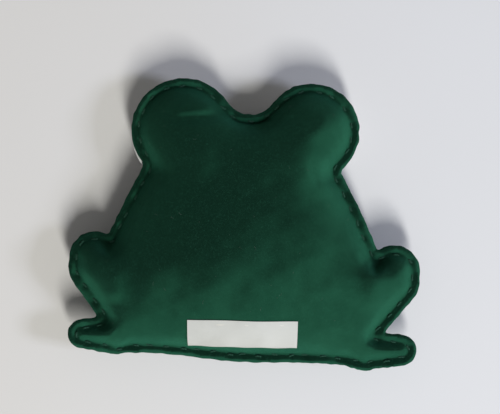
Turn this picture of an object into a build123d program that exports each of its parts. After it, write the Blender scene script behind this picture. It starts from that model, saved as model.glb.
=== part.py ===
"""A hand-sewn stuffed felt frog, resting on its belly with its back up.

Two green felt panels of one pattern are sewn together near their edge with a running stitch.
Stuffing fills the body and each lobe.  White and black felt eyes and a stitched mouth are on the
front, which lies downwards.  A paper label is glued to the back along its top edge.

Frame: +Z up out of the back, +Y towards the head, +X towards the frog's right, z = 0 under the
belly.  Millimetres.
"""

import math
import os

from build123d import *

# ---------------------------------------------------------------- materials and clearances
FELT = 1.4
THREAD_RADIUS = 0.36
EYE_FELT = 1.1
PAPER = 0.25
SOFT_GAP = 0.3

# ---------------------------------------------------------------- the pattern of both felt panels
LEFT_EYE_X = -30.4
LEFT_EYE_Y = 40.1
LEFT_EYE_RADIUS = 23.4
RIGHT_EYE_X = 27.3
RIGHT_EYE_Y = 42.1
RIGHT_EYE_RADIUS = 21.6
DIP_Y = 48.5
DIP_FILLET = 6.0

KNEE_X = 67.6
KNEE_Y = -18.9
KNEE_TOP_RADIUS = 11.6
SHIN_X = 66.6
SHIN_Y = -23.2
SHIN_RADIUS = 12.6
THIGH_X = 54.0
THIGH_Y = -40.0
THIGH_RADIUS = 12.0

LEFT_TOE_X = -71.9
LEFT_TOE_Y = -53.7
LEFT_TOE_RADIUS = 6.4
RIGHT_TOE_X = 72.5
RIGHT_TOE_Y = -54.3
RIGHT_TOE_RADIUS = 6.7
HEEL_X = 58.0
LEFT_HEEL_Y = -53.5
RIGHT_HEEL_Y = -55.1
HEEL_RADIUS = 8.5
HEM_Y = (LEFT_HEEL_Y + RIGHT_HEEL_Y) / 2 - HEEL_RADIUS

LEFT_HIP_X = -64.0
RIGHT_HIP_X = 61.6
HIP_RISE = 4.6
LEFT_SHOULDER_OUT = 12.4
RIGHT_SHOULDER_OUT = 8.0
SHOULDER_DROP = 8.0
SIDE_BULGE = 0.9
CREVICE_FILLET = 2.0

# ---------------------------------------------------------------- the seam
STITCH_INSET = 3.4
DOME_INSET = 4.5
STITCH_LENGTH = 3.6
THREAD_SINK = 0.05
KNOT_RADIUS = 0.9

# ---------------------------------------------------------------- the stuffed shape
BELLY_DEPTH = 17.0
DOME_STEP = 0.8
TORSO_RISE = 19.4
TORSO_ROUND = 38.0
WAIST_HALF_WIDTH = 66.0
EYE_RISE = 11.5
KNEE_RISE = 8.5
FOOT_RISE = 6.0
ROOT_RISE = 18.0
EYE_ROOT = 26.0
KNEE_ROOT = 28.0
FOOT_ROOT = 30.0
DOME_POWER = 3.0
CREASE_SOFTNESS = 2.5
FAR_SHARE = 1.5
SURFACE_STEP = 5.0
SURFACE_FIT = 0.2
SURFACE_SMOOTHING = (1, 0.2, 0.1)

EYE_CUT = 5.0
KNEE_CUT_X = 62.0
FOOT_CUT_Y = -46.0

# ---------------------------------------------------------------- eyes and mouth on the front
EYE_WHITE_MARGIN = 1.1
EYE_WHITE_OUT = 1.2
EYE_WHITE_DROP = 1.7
PUPIL_RADIUS = 8.0
PUPIL_IN = 4.0
PUPIL_STITCHES = 8
PUPIL_STITCH_LENGTH = 2.4
PUPIL_STITCH_INSET = 1.4
MOUTH_HALF_WIDTH = 23.0
MOUTH_Y = 2.0
MOUTH_LIFT = 9.0
MOUTH_STITCHES = 13
NOSTRIL_X = 4.5
NOSTRIL_Y = 16.0
FACE_STITCH_LENGTH = 3.0

# ---------------------------------------------------------------- the paper label on the back
LABEL_WIDTH = 48.6
LABEL_HEIGHT = 12.5
LABEL_TURN = 1.7
LABEL_X = 0.3
LABEL_TOP_Y = -43.1
GLUE_WIDTH = 1.6
GLUE_GAP = 0.05

SEAM_Z = BELLY_DEPTH + FELT
TOP_Z = SEAM_Z + 2 * FELT + DOME_STEP + TORSO_RISE
LEFT = -1
RIGHT = 1


def eye_of(side):
    """Centre and radius of one eye lobe."""
    if side == LEFT:
        return LEFT_EYE_X, LEFT_EYE_Y, LEFT_EYE_RADIUS
    return RIGHT_EYE_X, RIGHT_EYE_Y, RIGHT_EYE_RADIUS


def toe_of(side):
    """Centre and radius of the round tip of one foot."""
    if side == LEFT:
        return LEFT_TOE_X, LEFT_TOE_Y, LEFT_TOE_RADIUS
    return RIGHT_TOE_X, RIGHT_TOE_Y, RIGHT_TOE_RADIUS


def heel_of(side):
    """Centre and radius of the inner end of one foot."""
    return side * HEEL_X, LEFT_HEEL_Y if side == LEFT else RIGHT_HEEL_Y, HEEL_RADIUS


def knee_of(side):
    """The three round corners of one knee lobe: top, shin and thigh."""
    return (
        (side * KNEE_X, KNEE_Y, KNEE_TOP_RADIUS),
        (side * SHIN_X, SHIN_Y, SHIN_RADIUS),
        (side * THIGH_X, THIGH_Y, THIGH_RADIUS),
    )


def hip_of(side):
    """Lower end of one flank, inside the knee lobe."""
    return LEFT_HIP_X if side == LEFT else RIGHT_HIP_X, KNEE_Y + HIP_RISE


def shoulder_of(side):
    """Upper end of one flank, inside the eye lobe."""
    x, y, _ = eye_of(side)
    out = LEFT_SHOULDER_OUT if side == LEFT else RIGHT_SHOULDER_OUT
    return x + side * out, y - SHOULDER_DROP


def flank_out(side):
    """The direction that points out of one flank, square to it."""
    (x0, y0), (x1, y1) = hip_of(side), shoulder_of(side)
    run = math.hypot(x1 - x0, y1 - y0)
    return side * (y1 - y0) / run, -side * (x1 - x0) / run


def flank(side):
    """Hip, middle and shoulder of one flank, which bulges a little."""
    (x0, y0), (x1, y1) = hip_of(side), shoulder_of(side)
    out_x, out_y = flank_out(side)
    middle = ((x0 + x1) / 2 + SIDE_BULGE * out_x, (y0 + y1) / 2 + SIDE_BULGE * out_y)
    return (x0, y0), middle, (x1, y1)


def hem_end(side):
    """Where the straight hem leaves the round heel of one foot."""
    x, y, radius = heel_of(side)
    fall, run = RIGHT_HEEL_Y - LEFT_HEEL_Y, 2 * HEEL_X
    length = math.hypot(fall, run)
    return x + radius * fall / length, y - radius * run / length


def hull_of(circles):
    """A rounded patch stretched around a few circles, drawn flat."""
    with BuildSketch() as patch:
        with BuildLine():
            for x, y, radius in circles:
                CenterArc((x, y), radius, 0, 360)
        make_hull()
    return patch.sketch


def inward_corners(face):
    """Corners of the pattern where one lobe meets the next."""
    step = math.tau / 24
    reach = FELT / 2
    found = ShapeList()
    for corner in face.vertices():
        ring = [
            (corner.X + reach * math.cos(step * i), corner.Y + reach * math.sin(step * i), 0)
            for i in range(24)
        ]
        if sum(face.is_inside(point) for point in ring) > 13:
            found.append(corner)
    return found


# ---------------------------------------------------------------- the pattern, drawn flat
legs = [hull_of(knee_of(side)) for side in (LEFT, RIGHT)]
legs += [hull_of((toe_of(side), heel_of(side))) for side in (LEFT, RIGHT)]

with BuildSketch() as plain_pattern:
    with BuildLine():
        left_flank = ThreePointArc(*flank(LEFT))
        Polyline(left_flank @ 1, (LEFT_EYE_X, DIP_Y), (RIGHT_EYE_X, DIP_Y), shoulder_of(RIGHT))
        right_flank = ThreePointArc(*reversed(flank(RIGHT)))
        Polyline(right_flank @ 1, hem_end(RIGHT), hem_end(LEFT), left_flank @ 0)
    make_face()
    for side in (LEFT, RIGHT):
        eye_x, eye_y, eye_radius = eye_of(side)
        with Locations((eye_x, eye_y)):
            Circle(eye_radius)
    add(legs)

with BuildSketch() as rounded_pattern:
    add(plain_pattern.sketch)
    corners = inward_corners(rounded_pattern.face())
    fillet([corner for corner in corners if abs(corner.Y - DIP_Y) < FELT / 2], DIP_FILLET)
    corners = inward_corners(rounded_pattern.face())
    fillet([corner for corner in corners if corner.Y < LEFT_EYE_Y], CREVICE_FILLET)


def moved_in(inset):
    """The pattern with every edge moved in by an inset."""
    with BuildSketch() as smaller:
        add(plain_pattern.sketch)
        offset(amount=-inset)
    return smaller.sketch


pattern = rounded_pattern.sketch
stitch_path = moved_in(STITCH_INSET)
dome_foot = moved_in(DOME_INSET)
cavity_foot = moved_in(DOME_INSET + FELT)
wad_foot = moved_in(DOME_INSET + FELT + SOFT_GAP)


# ---------------------------------------------------------------- the dome's height
def lobes():
    """Each lobe's spine from its tip to its root, its radius and its rise."""
    for side in (LEFT, RIGHT):
        eye_x, eye_y, eye_radius = eye_of(side)
        foot_x, foot_y, foot_radius = toe_of(side)
        heel_x, heel_y, heel_radius = heel_of(side)
        for tip, root, reach, radius, rise in (
            ((eye_x, eye_y), (0, HEM_Y + TORSO_ROUND), EYE_ROOT, eye_radius, EYE_RISE),
            ((side * KNEE_X, KNEE_Y), (side * THIGH_X, THIGH_Y), KNEE_ROOT, SHIN_RADIUS, KNEE_RISE),
            ((foot_x, foot_y), (heel_x, heel_y), FOOT_ROOT, heel_radius, FOOT_RISE),
        ):
            run = math.hypot(root[0] - tip[0], root[1] - tip[1])
            along = ((root[0] - tip[0]) / run, (root[1] - tip[1]) / run)
            yield tip, along, reach, radius - DOME_INSET, rise


def lobe_height(x, y, tip, along, reach, radius, rise):
    """Height of one lobe: full along its spine, falling to nothing at its radius."""
    step = (x - tip[0]) * along[0] + (y - tip[1]) * along[1]
    held = max(0.0, min(reach, step))
    away = math.hypot(x - tip[0] - held * along[0], y - tip[1] - held * along[1])
    crown = rise + (ROOT_RISE - rise) * held / reach
    return crown * (1 - min(away / radius, FAR_SHARE) ** DOME_POWER)


def torso_height(x, y):
    """Height of the torso: its rise, less what each side takes away near the seam."""
    depths = [DIP_Y - y, y - HEM_Y]
    for side in (LEFT, RIGHT):
        hip_x, hip_y = hip_of(side)
        out_x, out_y = flank_out(side)
        depths.append((hip_x - x) * out_x + (hip_y - y) * out_y)
        depths.append(WAIST_HALF_WIDTH - side * x)
    loss = 0.0
    for depth in depths:
        share = max(0.0, 1 - (depth - DOME_INSET) / TORSO_ROUND)
        loss += min(share, FAR_SHARE) ** DOME_POWER
    return TORSO_RISE * (1 - loss)


def dome_height(x, y):
    """Height of the stuffed shape over its foot: the highest of torso and lobes, blended."""
    height = torso_height(x, y)
    for lobe in lobes():
        other = lobe_height(x, y, *lobe)
        height = (height + other + math.hypot(height - other, CREASE_SOFTNESS)) / 2
    return height + DOME_STEP


def dome_grid():
    """Points of the dome over a rectangle a little larger than the pattern."""
    box = pattern.bounding_box()
    columns = math.ceil(box.size.X / SURFACE_STEP) + 1
    rows = math.ceil(box.size.Y / SURFACE_STEP) + 1
    xs = [box.min.X - FELT + (box.size.X + 2 * FELT) * i / (columns - 1) for i in range(columns)]
    ys = [box.min.Y - FELT + (box.size.Y + 2 * FELT) * j / (rows - 1) for j in range(rows)]
    return [[(x, y, dome_height(x, y)) for y in ys] for x in xs]


dome = Face.make_surface_from_array_of_points(
    [[Vector(*point) for point in row] for row in dome_grid()],
    tol=SURFACE_FIT,
    smoothing=SURFACE_SMOOTHING,
    min_deg=3,
    max_deg=5,
)


def raised(shape, height):
    """The same shape, higher by a height."""
    return shape.moved(Location((0, 0, height)))


def over_seam(shape):
    """The same shape, mirrored to the other face of the seam."""
    return mirror(shape, about=Plane.XY.offset(SEAM_Z))


def column(sketch, bottom, top):
    """A straight column of one flat outline between two heights."""
    with BuildPart() as made:
        with BuildSketch(Plane.XY.offset(bottom)):
            add(sketch)
        extrude(amount=top - bottom)
    return made.part


# Everything under the back's surface, and everything over the front's, which mirrors it.
with BuildPart() as mound:
    extrude(dome, amount=3 * TOP_Z, dir=(0, 0, -1))

back_mound = raised(mound.part, SEAM_Z + FELT)
front_mound = over_seam(back_mound)

# ---------------------------------------------------------------- eye felts, drawn flat
def eye_white_of(side):
    """Centre and radius of one white eye felt; the left one is set a little out and down."""
    x, y, radius = eye_of(side)
    if side == LEFT:
        x, y = x - EYE_WHITE_OUT, y - EYE_WHITE_DROP
    return x, y, radius - EYE_WHITE_MARGIN


def pupil_of(side):
    """Centre of one pupil, set in towards the nose."""
    x, y, _ = eye_white_of(side)
    return x - side * PUPIL_IN, y


def disc(x, y, radius):
    """A round patch, drawn flat."""
    with BuildSketch() as patch:
        with Locations((x, y)):
            Circle(radius)
    return patch.sketch


def within(flat, bottom, top, shells):
    """A column of one outline, kept only where each given shell has it too."""
    with BuildPart() as made:
        with BuildSketch(Plane.XY.offset(bottom)):
            add(flat)
        extrude(amount=top - bottom)
        for shell in shells:
            add(shell, mode=Mode.INTERSECT)
    return made.part


white_discs = [disc(*eye_white_of(side)) for side in (LEFT, RIGHT)]
pupil_discs = [disc(*pupil_of(side), PUPIL_RADIUS) for side in (LEFT, RIGHT)]

# ---------------------------------------------------------------- the two felt panels
with BuildPart() as back_panel:
    add(column(pattern, SEAM_Z, SEAM_Z + FELT))
    add(within(dome_foot, SEAM_Z, TOP_Z + FELT, [back_mound]))
    add(
        within(cavity_foot, SEAM_Z - FELT, TOP_Z, [raised(back_mound, -FELT)]),
        mode=Mode.SUBTRACT,
    )

# The belly is pressed flat on z = 0, and the felt rises over the white eyes that lie under it.
with BuildPart() as belly_hollow:
    add(within(cavity_foot, FELT, SEAM_Z + FELT, [raised(front_mound, FELT)]))
    for eye_disc in white_discs:
        add(column(eye_disc, 0, FELT + EYE_FELT), mode=Mode.SUBTRACT)

with BuildPart() as front_panel:
    add(column(pattern, SEAM_Z - FELT, SEAM_Z))
    add(within(dome_foot, 0, SEAM_Z, [front_mound]))
    for eye_disc in white_discs:
        add(column(eye_disc, -FELT, EYE_FELT), mode=Mode.SUBTRACT)
    add(belly_hollow.part, mode=Mode.SUBTRACT)


# ---------------------------------------------------------------- felt eyes
def front_felt(flat, inner, outer):
    """A felt patch that follows the front panel, between two depths below its surface."""
    with BuildPart() as made:
        add(within(flat, 0, SEAM_Z - FELT - inner, [raised(front_mound, -outer)]))
        add(raised(front_mound, -inner), mode=Mode.SUBTRACT)
    return made.part


eye_whites = []
for patch in white_discs:
    with BuildSketch() as domed:
        add(patch)
        add(dome_foot, mode=Mode.INTERSECT)
    with BuildSketch() as rim:
        add(patch)
        add(dome_foot, mode=Mode.SUBTRACT)
    with BuildPart() as eye_white:
        add(front_felt(domed.sketch, 0, EYE_FELT))
        add(within(domed.sketch, 0, EYE_FELT, [raised(front_mound, -EYE_FELT)]))
        add(column(rim.sketch, SEAM_Z - FELT - EYE_FELT, SEAM_Z - FELT))
    eye_whites.append(eye_white.part)
pupils = [front_felt(patch, EYE_FELT, 2 * EYE_FELT) for patch in pupil_discs]


# ---------------------------------------------------------------- stuffing
def half_plane(x, y, towards):
    """A large flat rectangle on one side of a line through a point."""
    big = 4 * KNEE_X
    turn = math.degrees(math.atan2(towards[1], towards[0]))
    run = math.hypot(*towards)
    middle = (x + towards[0] / run * big / 2, y + towards[1] / run * big / 2)
    with BuildSketch() as half:
        with Locations(Location((*middle, 0), (0, 0, turn))):
            Rectangle(big, big)
    return half.sketch


def lobe_region(side, name, gap):
    """The flat area of one lobe beyond its root, drawn back from the root by a gap."""
    with BuildSketch() as region:
        if name == "eye":
            tip, along, *_ = next(lobe for lobe in lobes() if lobe[0] == eye_of(side)[:2])
            reach = EYE_CUT - gap
            root = (tip[0] + reach * along[0], tip[1] + reach * along[1])
            add(half_plane(*root, (-along[0], -along[1])))
        else:
            up = 1 if name == "knee" else -1
            add(half_plane(side * (KNEE_CUT_X + gap), 0, (side, 0)))
            add(half_plane(0, FOOT_CUT_Y + up * gap, (0, up)), mode=Mode.INTERSECT)
    return region.sketch


def stuffing(region):
    """A wad of filling that fills one flat region between the two panels."""
    inside = [
        raised(back_mound, -FELT - SOFT_GAP),
        raised(front_mound, FELT + SOFT_GAP),
    ]
    with BuildPart() as made:
        add(within(region, FELT + SOFT_GAP, TOP_Z, inside))
        for eye_disc in white_discs:
            add(column(eye_disc, 0, FELT + EYE_FELT + SOFT_GAP), mode=Mode.SUBTRACT)
    return made.part


wads = {}
for side, side_name in ((LEFT, "left"), (RIGHT, "right")):
    for name in ("eye", "knee", "foot"):
        with BuildSketch() as region:
            add(wad_foot)
            add(lobe_region(side, name, SOFT_GAP / 2), mode=Mode.INTERSECT)
        wads[f"{side_name}_{name}_stuffing"] = stuffing(region.sketch)

with BuildSketch() as torso_region:
    add(wad_foot)
    for side in (LEFT, RIGHT):
        for name in ("eye", "knee", "foot"):
            add(lobe_region(side, name, -SOFT_GAP / 2), mode=Mode.SUBTRACT)
wads["torso_stuffing"] = stuffing(torso_region.sketch)


# ---------------------------------------------------------------- thread
def stitch(length, depth):
    """One stitch lying on z = 0, its two ends going down into the felt."""
    with BuildPart() as made:
        with BuildLine(Plane.XZ) as path:
            FilletPolyline(
                (-length / 2, -depth),
                (-length / 2, THREAD_RADIUS),
                (length / 2, THREAD_RADIUS),
                (length / 2, -depth),
                radius=1.5 * THREAD_RADIUS,
            )
        with BuildSketch(Plane(path.line @ 0, z_dir=path.line % 0)):
            Circle(THREAD_RADIUS)
        sweep()
    return made.part


def along_wire(wire, share, height, up):
    """The place on a flat wire at a share of its length, facing up or down at a height."""
    point = wire.position_at(share)
    tangent = wire.tangent_at(share)
    return Plane((point.X, point.Y, height), x_dir=(tangent.X, tangent.Y, 0), z_dir=(0, 0, up))


def on_white(place):
    """Whether a place on the seam lies over one of the white eye felts."""
    for side in (LEFT, RIGHT):
        x, y, radius = eye_white_of(side)
        if math.hypot(place.origin.X - x, place.origin.Y - y) < radius:
            return True
    return False


seam = stitch_path.face().outer_wire()
pairs = round(seam.length / (2 * STITCH_LENGTH))
pitch = seam.length / (2 * pairs)
back_places = [along_wire(seam, (2 * i + 0.5) / (2 * pairs), SEAM_Z + FELT, 1) for i in range(pairs)]
front_places = [along_wire(seam, (2 * i + 1.5) / (2 * pairs), SEAM_Z - FELT, -1) for i in range(pairs)]
plain_places = [place for place in front_places if not on_white(place)]
white_places = [place.offset(EYE_FELT) for place in front_places if on_white(place)]

with BuildPart() as back_seam_stitches:
    with Locations(*back_places):
        add(stitch(pitch, FELT))

with BuildPart() as front_seam_stitches:
    with Locations(*plain_places):
        add(stitch(pitch, FELT))
    with Locations(*white_places):
        add(stitch(pitch, FELT + EYE_FELT))

# The thread ends in a small knot on the front, under the middle of the hem.
hem_place = min(plain_places, key=lambda place: abs(place.origin.X) + abs(place.origin.Y - HEM_Y))
with BuildPart() as seam_knot:
    with Locations(hem_place.offset(2 * THREAD_RADIUS)):
        Sphere(KNOT_RADIUS)


def on_front(x, y, heading, proud):
    """A place on the front's surface, or on what lies proud of it, facing out of the frog."""
    step = FELT / 2
    slope_x = (dome_height(x + step, y) - dome_height(x - step, y)) / (2 * step)
    slope_y = (dome_height(x, y + step) - dome_height(x, y - step)) / (2 * step)
    fall = slope_x * heading[0] + slope_y * heading[1]
    height = max(SEAM_Z - FELT - dome_height(x, y) - proud, 2 * THREAD_RADIUS + THREAD_SINK)
    return Plane((x, y, height), x_dir=(*heading, -fall), z_dir=(-slope_x, -slope_y, -1))


def pupil_stitches(side):
    """A ring of small stitches just inside one pupil's edge, down into the white felt."""
    x, y = pupil_of(side)
    ring = PUPIL_RADIUS - PUPIL_STITCH_INSET
    turns = [math.tau * i / PUPIL_STITCHES for i in range(PUPIL_STITCHES)]
    with BuildPart() as made:
        with Locations(
            *(
                on_front(
                    x + ring * math.cos(turn),
                    y + ring * math.sin(turn),
                    (-math.sin(turn), math.cos(turn)),
                    2 * EYE_FELT,
                )
                for turn in turns
            )
        ):
            add(stitch(PUPIL_STITCH_LENGTH, EYE_FELT))
    return made.part


def face_stitches(places):
    """Stitches sunk flush into the front felt at their places."""
    with BuildPart() as made:
        with Locations(*places):
            add(stitch(FACE_STITCH_LENGTH, FELT - 2 * THREAD_RADIUS - 2 * THREAD_SINK))
    return made.part


with BuildLine() as mouth:
    ThreePointArc(
        (-MOUTH_HALF_WIDTH, MOUTH_Y + MOUTH_LIFT),
        (0, MOUTH_Y),
        (MOUTH_HALF_WIDTH, MOUTH_Y + MOUTH_LIFT),
    )

sunk = 2 * THREAD_RADIUS + THREAD_SINK
mouth_places = [
    along_wire(mouth.wire(), (i + 0.5) / MOUTH_STITCHES, sunk, -1) for i in range(MOUTH_STITCHES)
]
nostril_places = [
    Plane((side * NOSTRIL_X, NOSTRIL_Y, sunk), x_dir=(side, 1, 0), z_dir=(0, 0, -1))
    for side in (LEFT, RIGHT)
]

with BuildPart() as dimpled_front:
    add(front_panel.part)
    with Locations(*mouth_places, *nostril_places):
        Box(
            FACE_STITCH_LENGTH + 2 * (THREAD_RADIUS + THREAD_SINK),
            2 * (THREAD_RADIUS + THREAD_SINK),
            sunk,
            align=(Align.CENTER, Align.CENTER, Align.MIN),
            mode=Mode.SUBTRACT,
        )


# ---------------------------------------------------------------- the paper label and its glue
def label_strip(height):
    """The label's flat outline from its top edge down to a height, turned as it is glued."""
    with BuildSketch() as strip:
        with Locations(Location((LABEL_X, LABEL_TOP_Y, 0), (0, 0, LABEL_TURN))):
            Rectangle(LABEL_WIDTH, height, align=(Align.CENTER, Align.MAX))
    return strip.sketch


def back_layer(flat, inner, outer):
    """A thin layer that follows the back, between two heights over its surface."""
    with BuildPart() as made:
        add(within(flat, SEAM_Z + FELT, TOP_Z + FELT, [raised(back_mound, outer)]))
        add(raised(back_mound, inner), mode=Mode.SUBTRACT)
    return made.part


paper_label = back_layer(label_strip(LABEL_HEIGHT), SOFT_GAP, SOFT_GAP + PAPER)
label_glue = back_layer(label_strip(GLUE_WIDTH), 0, SOFT_GAP - GLUE_GAP)

# ---------------------------------------------------------------- the pieces, one file each
pieces = {
    "back_panel": back_panel.part,
    "front_panel": dimpled_front.part,
    **wads,
    "back_seam_stitches": back_seam_stitches.part,
    "front_seam_stitches": front_seam_stitches.part,
    "seam_knot": seam_knot.part,
    "left_eye_white": eye_whites[0],
    "right_eye_white": eye_whites[1],
    "left_pupil": pupils[0],
    "right_pupil": pupils[1],
    "left_pupil_stitches": pupil_stitches(LEFT),
    "right_pupil_stitches": pupil_stitches(RIGHT),
    "mouth_stitches": face_stitches(mouth_places),
    "nostril_stitches": face_stitches(nostril_places),
    "paper_label": paper_label,
    "label_glue": label_glue,
}

os.makedirs("parts", exist_ok=True)
for name, piece in pieces.items():
    piece.label = name
    export_step(piece, f"parts/{name}.step")
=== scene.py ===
"""Dresses a hand-sewn stuffed felt frog that lies on its belly with its back up.

Sizes are in millimetres until a mesh is written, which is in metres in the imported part's frame:
+X towards the frog's right, +Y towards its head, +Z up out of its back.
"""

import logging
import math
from collections.abc import Callable
from dataclasses import dataclass, field
from enum import Enum, IntEnum

import bmesh
import bpy
import numpy as np
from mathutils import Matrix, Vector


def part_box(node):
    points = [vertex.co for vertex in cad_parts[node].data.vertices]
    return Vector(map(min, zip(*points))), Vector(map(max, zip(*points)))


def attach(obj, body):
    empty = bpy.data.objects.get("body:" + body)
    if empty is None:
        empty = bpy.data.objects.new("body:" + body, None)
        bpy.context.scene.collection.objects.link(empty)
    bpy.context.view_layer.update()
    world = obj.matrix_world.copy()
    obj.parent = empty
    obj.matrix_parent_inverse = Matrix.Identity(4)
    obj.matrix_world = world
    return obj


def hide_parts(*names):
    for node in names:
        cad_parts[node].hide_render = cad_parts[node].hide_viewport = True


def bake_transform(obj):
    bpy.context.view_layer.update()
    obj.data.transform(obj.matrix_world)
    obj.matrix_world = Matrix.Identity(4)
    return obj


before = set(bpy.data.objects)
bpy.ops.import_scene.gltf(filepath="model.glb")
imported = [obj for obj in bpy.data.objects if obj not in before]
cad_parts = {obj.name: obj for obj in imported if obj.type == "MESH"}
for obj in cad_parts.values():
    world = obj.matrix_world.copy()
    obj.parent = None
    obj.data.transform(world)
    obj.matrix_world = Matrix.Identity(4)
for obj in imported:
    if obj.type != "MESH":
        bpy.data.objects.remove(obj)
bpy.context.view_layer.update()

MM = 0.001
NEXT_TO_NONE = 1e-9
STITCH_INSET = 3.4
THREAD_END = 0.02
Array = np.ndarray
Places = tuple[Array, Array]
Cords = tuple[Array, Array, Array]
Colour = tuple[float, float, float]
Point = tuple[float, float]
Piece = bpy.types.Object
Node = bpy.types.Node
Socket = bpy.types.NodeSocket
NodeTree = bpy.types.NodeTree

log = logging.getLogger("felt_frog")


# ------------------------------------------------------------------ bodies, faces and seeds
class Body(Enum):
    """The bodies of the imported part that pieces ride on."""

    FROG = "frog"
    LABEL = "label_flap"


class Face(Enum):
    """Which felt panel a surface belongs to, and the way it faces."""

    BACK = 1
    FRONT = -1


class Seed(IntEnum):
    """Seeds of the random draws. Where each panel has its own, its face's number is added."""

    RAGGED_RIM = 3
    RIM_RIPPLE = 5
    SEAM = 7
    LUMPS = 11
    SMALL_LUMPS = 21
    CLOTH = 31
    WADDING_TOP = 41
    WADDING_LOW = 43
    SEAM_DASHES = 51
    FACE_DASHES = 61
    LINT = 71


# ------------------------------------------------------------------ small functions on arrays
def eased(low: float, high: float, value: Array) -> Array:
    """A smooth step from 0 at low to 1 at high: 3t^2 - 2t^3 of the share t.

    Args:
        low: value where the step begins.
        high: value where it ends.
        value: what is measured.

    Returns:
        The step's height at each value.
    """
    share = np.clip((value - low) / (high - low), 0.0, 1.0)
    return share * share * (3.0 - 2.0 * share)


def bump(distance: Array, width: float) -> Array:
    """A bell that is 1 at no distance: exp of minus the squared share of the width."""
    return np.exp(-((distance / width) ** 2))


def softer_max(a: Array, b: Array, softness: float) -> Array:
    """The higher of two heights, rounded where they cross: half of a + b + hypot(a - b, softness)."""
    return (a + b + np.hypot(a - b, softness)) / 2


def softer_min(a: Array, b: Array, softness: float) -> Array:
    """The lower of two heights, rounded where they cross."""
    return (a + b - np.hypot(a - b, softness)) / 2


def along_segment(x: Array, y: Array, a: Point, b: Point) -> Places:
    """Where points lie beside a straight line.

    Args:
        x: their x.
        y: their y.
        a: the line's start.
        b: its end.

    Returns:
        Each point's share of the way from a to b, and its distance to the left of the line.
    """
    dx, dy = b[0] - a[0], b[1] - a[1]
    run = math.hypot(dx, dy)
    share = ((x - a[0]) * dx + (y - a[1]) * dy) / run**2
    left = ((y - a[1]) * dx - (x - a[0]) * dy) / run
    return share, left


def waves(x: Array, y: Array, size: float, seed: int) -> Array:
    """Gentle unevenness: a sum of plane sine waves in seeded directions, about -1 to 1.

    Args:
        x: x of the points.
        y: y of the points.
        size: rough length of one wave.
        seed: seed of the directions and phases.

    Returns:
        The unevenness at each point.
    """
    draw, count, uneven = np.random.default_rng(seed), 14, (0.7, 1.5)
    turn = draw.uniform(0.0, math.tau, count)
    phase = draw.uniform(0.0, math.tau, count)
    pitch = math.tau / (size * draw.uniform(*uneven, count))
    total = np.zeros(np.shape(x))
    for k in range(count):
        total += np.sin(pitch[k] * (x * math.cos(turn[k]) + y * math.sin(turn[k])) + phase[k])
    return total / math.sqrt(count)


def slopes(field_at: Callable[[Array, Array], Array], x: Array, y: Array, reach: float) -> Places:
    """Slopes of a field along x and y: its difference over a short reach each way.

    Args:
        field_at: gives the field at x and y.
        x: x of the points.
        y: y of the points.
        reach: how far to each side it is read.

    Returns:
        The two slopes at each point.
    """
    slope_x = (field_at(x + reach, y) - field_at(x - reach, y)) / (2 * reach)
    slope_y = (field_at(x, y + reach) - field_at(x, y - reach)) / (2 * reach)
    return slope_x, slope_y


def grid_lines(half: Point, step: float) -> Places:
    """The x and y lines of a square grid that reaches as far as half to each side."""
    return np.arange(-half[0], half[0] + step, step), np.arange(-half[1], half[1] + step, step)


# ------------------------------------------------------------------ the pattern
@dataclass(frozen=True)
class Patch:
    """A round patch, drawn flat."""

    x: float
    y: float
    r: float

    def distance(self, x: Array, y: Array) -> Array:
        """Distance outside the circle: the distance from its centre less its radius."""
        return np.hypot(x - self.x, y - self.y) - self.r


def stretched(x: Array, y: Array, one: Patch, two: Patch) -> Array:
    """Distance outside the shape that a band round two circles makes.

    Across the band's slanted side it is a dot product with the side's normal; past either end it
    is the distance to that circle.

    Args:
        x: x of the points.
        y: y of the points.
        one: the first circle.
        two: the second circle.

    Returns:
        The distance, negative inside.
    """
    run = math.hypot(two.x - one.x, two.y - one.y)
    ux, uy = (two.x - one.x) / run, (two.y - one.y) / run
    along = (x - one.x) * ux + (y - one.y) * uy
    across = np.abs((y - one.y) * ux - (x - one.x) * uy)
    lean = (one.r - two.r) / run
    upright = math.sqrt(1.0 - lean * lean)
    key = upright * along - lean * across
    side = across * upright + along * lean - one.r
    result = np.where(key < 0.0, one.distance(x, y), side)
    return np.where(key > upright * run, two.distance(x, y), result)


def polygon(x: Array, y: Array, corners: Array) -> Array:
    """Distance outside a polygon: the least distance to an edge, negative where inside.

    Args:
        x: x of the points.
        y: y of the points.
        corners: its corners in order.

    Returns:
        The distance at each point.
    """
    nearest = np.full(np.shape(x), np.inf)
    inside = np.zeros(np.shape(x), bool)
    for a, b in zip(corners, np.roll(corners, -1, axis=0)):
        edge = b - a
        px, py = x - a[0], y - a[1]
        share = np.clip((px * edge[0] + py * edge[1]) / (edge @ edge), 0.0, 1.0)
        nearest = np.minimum(nearest, np.hypot(px - share * edge[0], py - share * edge[1]))
        crosses = (a[1] > y) != (b[1] > y)
        if a[1] != b[1]:
            inside ^= crosses & (x < a[0] + (y - a[1]) * edge[0] / edge[1])
    return np.where(inside, -nearest, nearest)


def joined(a: Array, b: Array, fillet: Array) -> Array:
    """Two distances joined, their inner corner rounded: the fillet less the corner's hypotenuse."""
    corner = np.hypot(np.maximum(fillet - a, 0.0), np.maximum(fillet - b, 0.0))
    return np.maximum(fillet, np.minimum(a, b)) - corner


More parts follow.
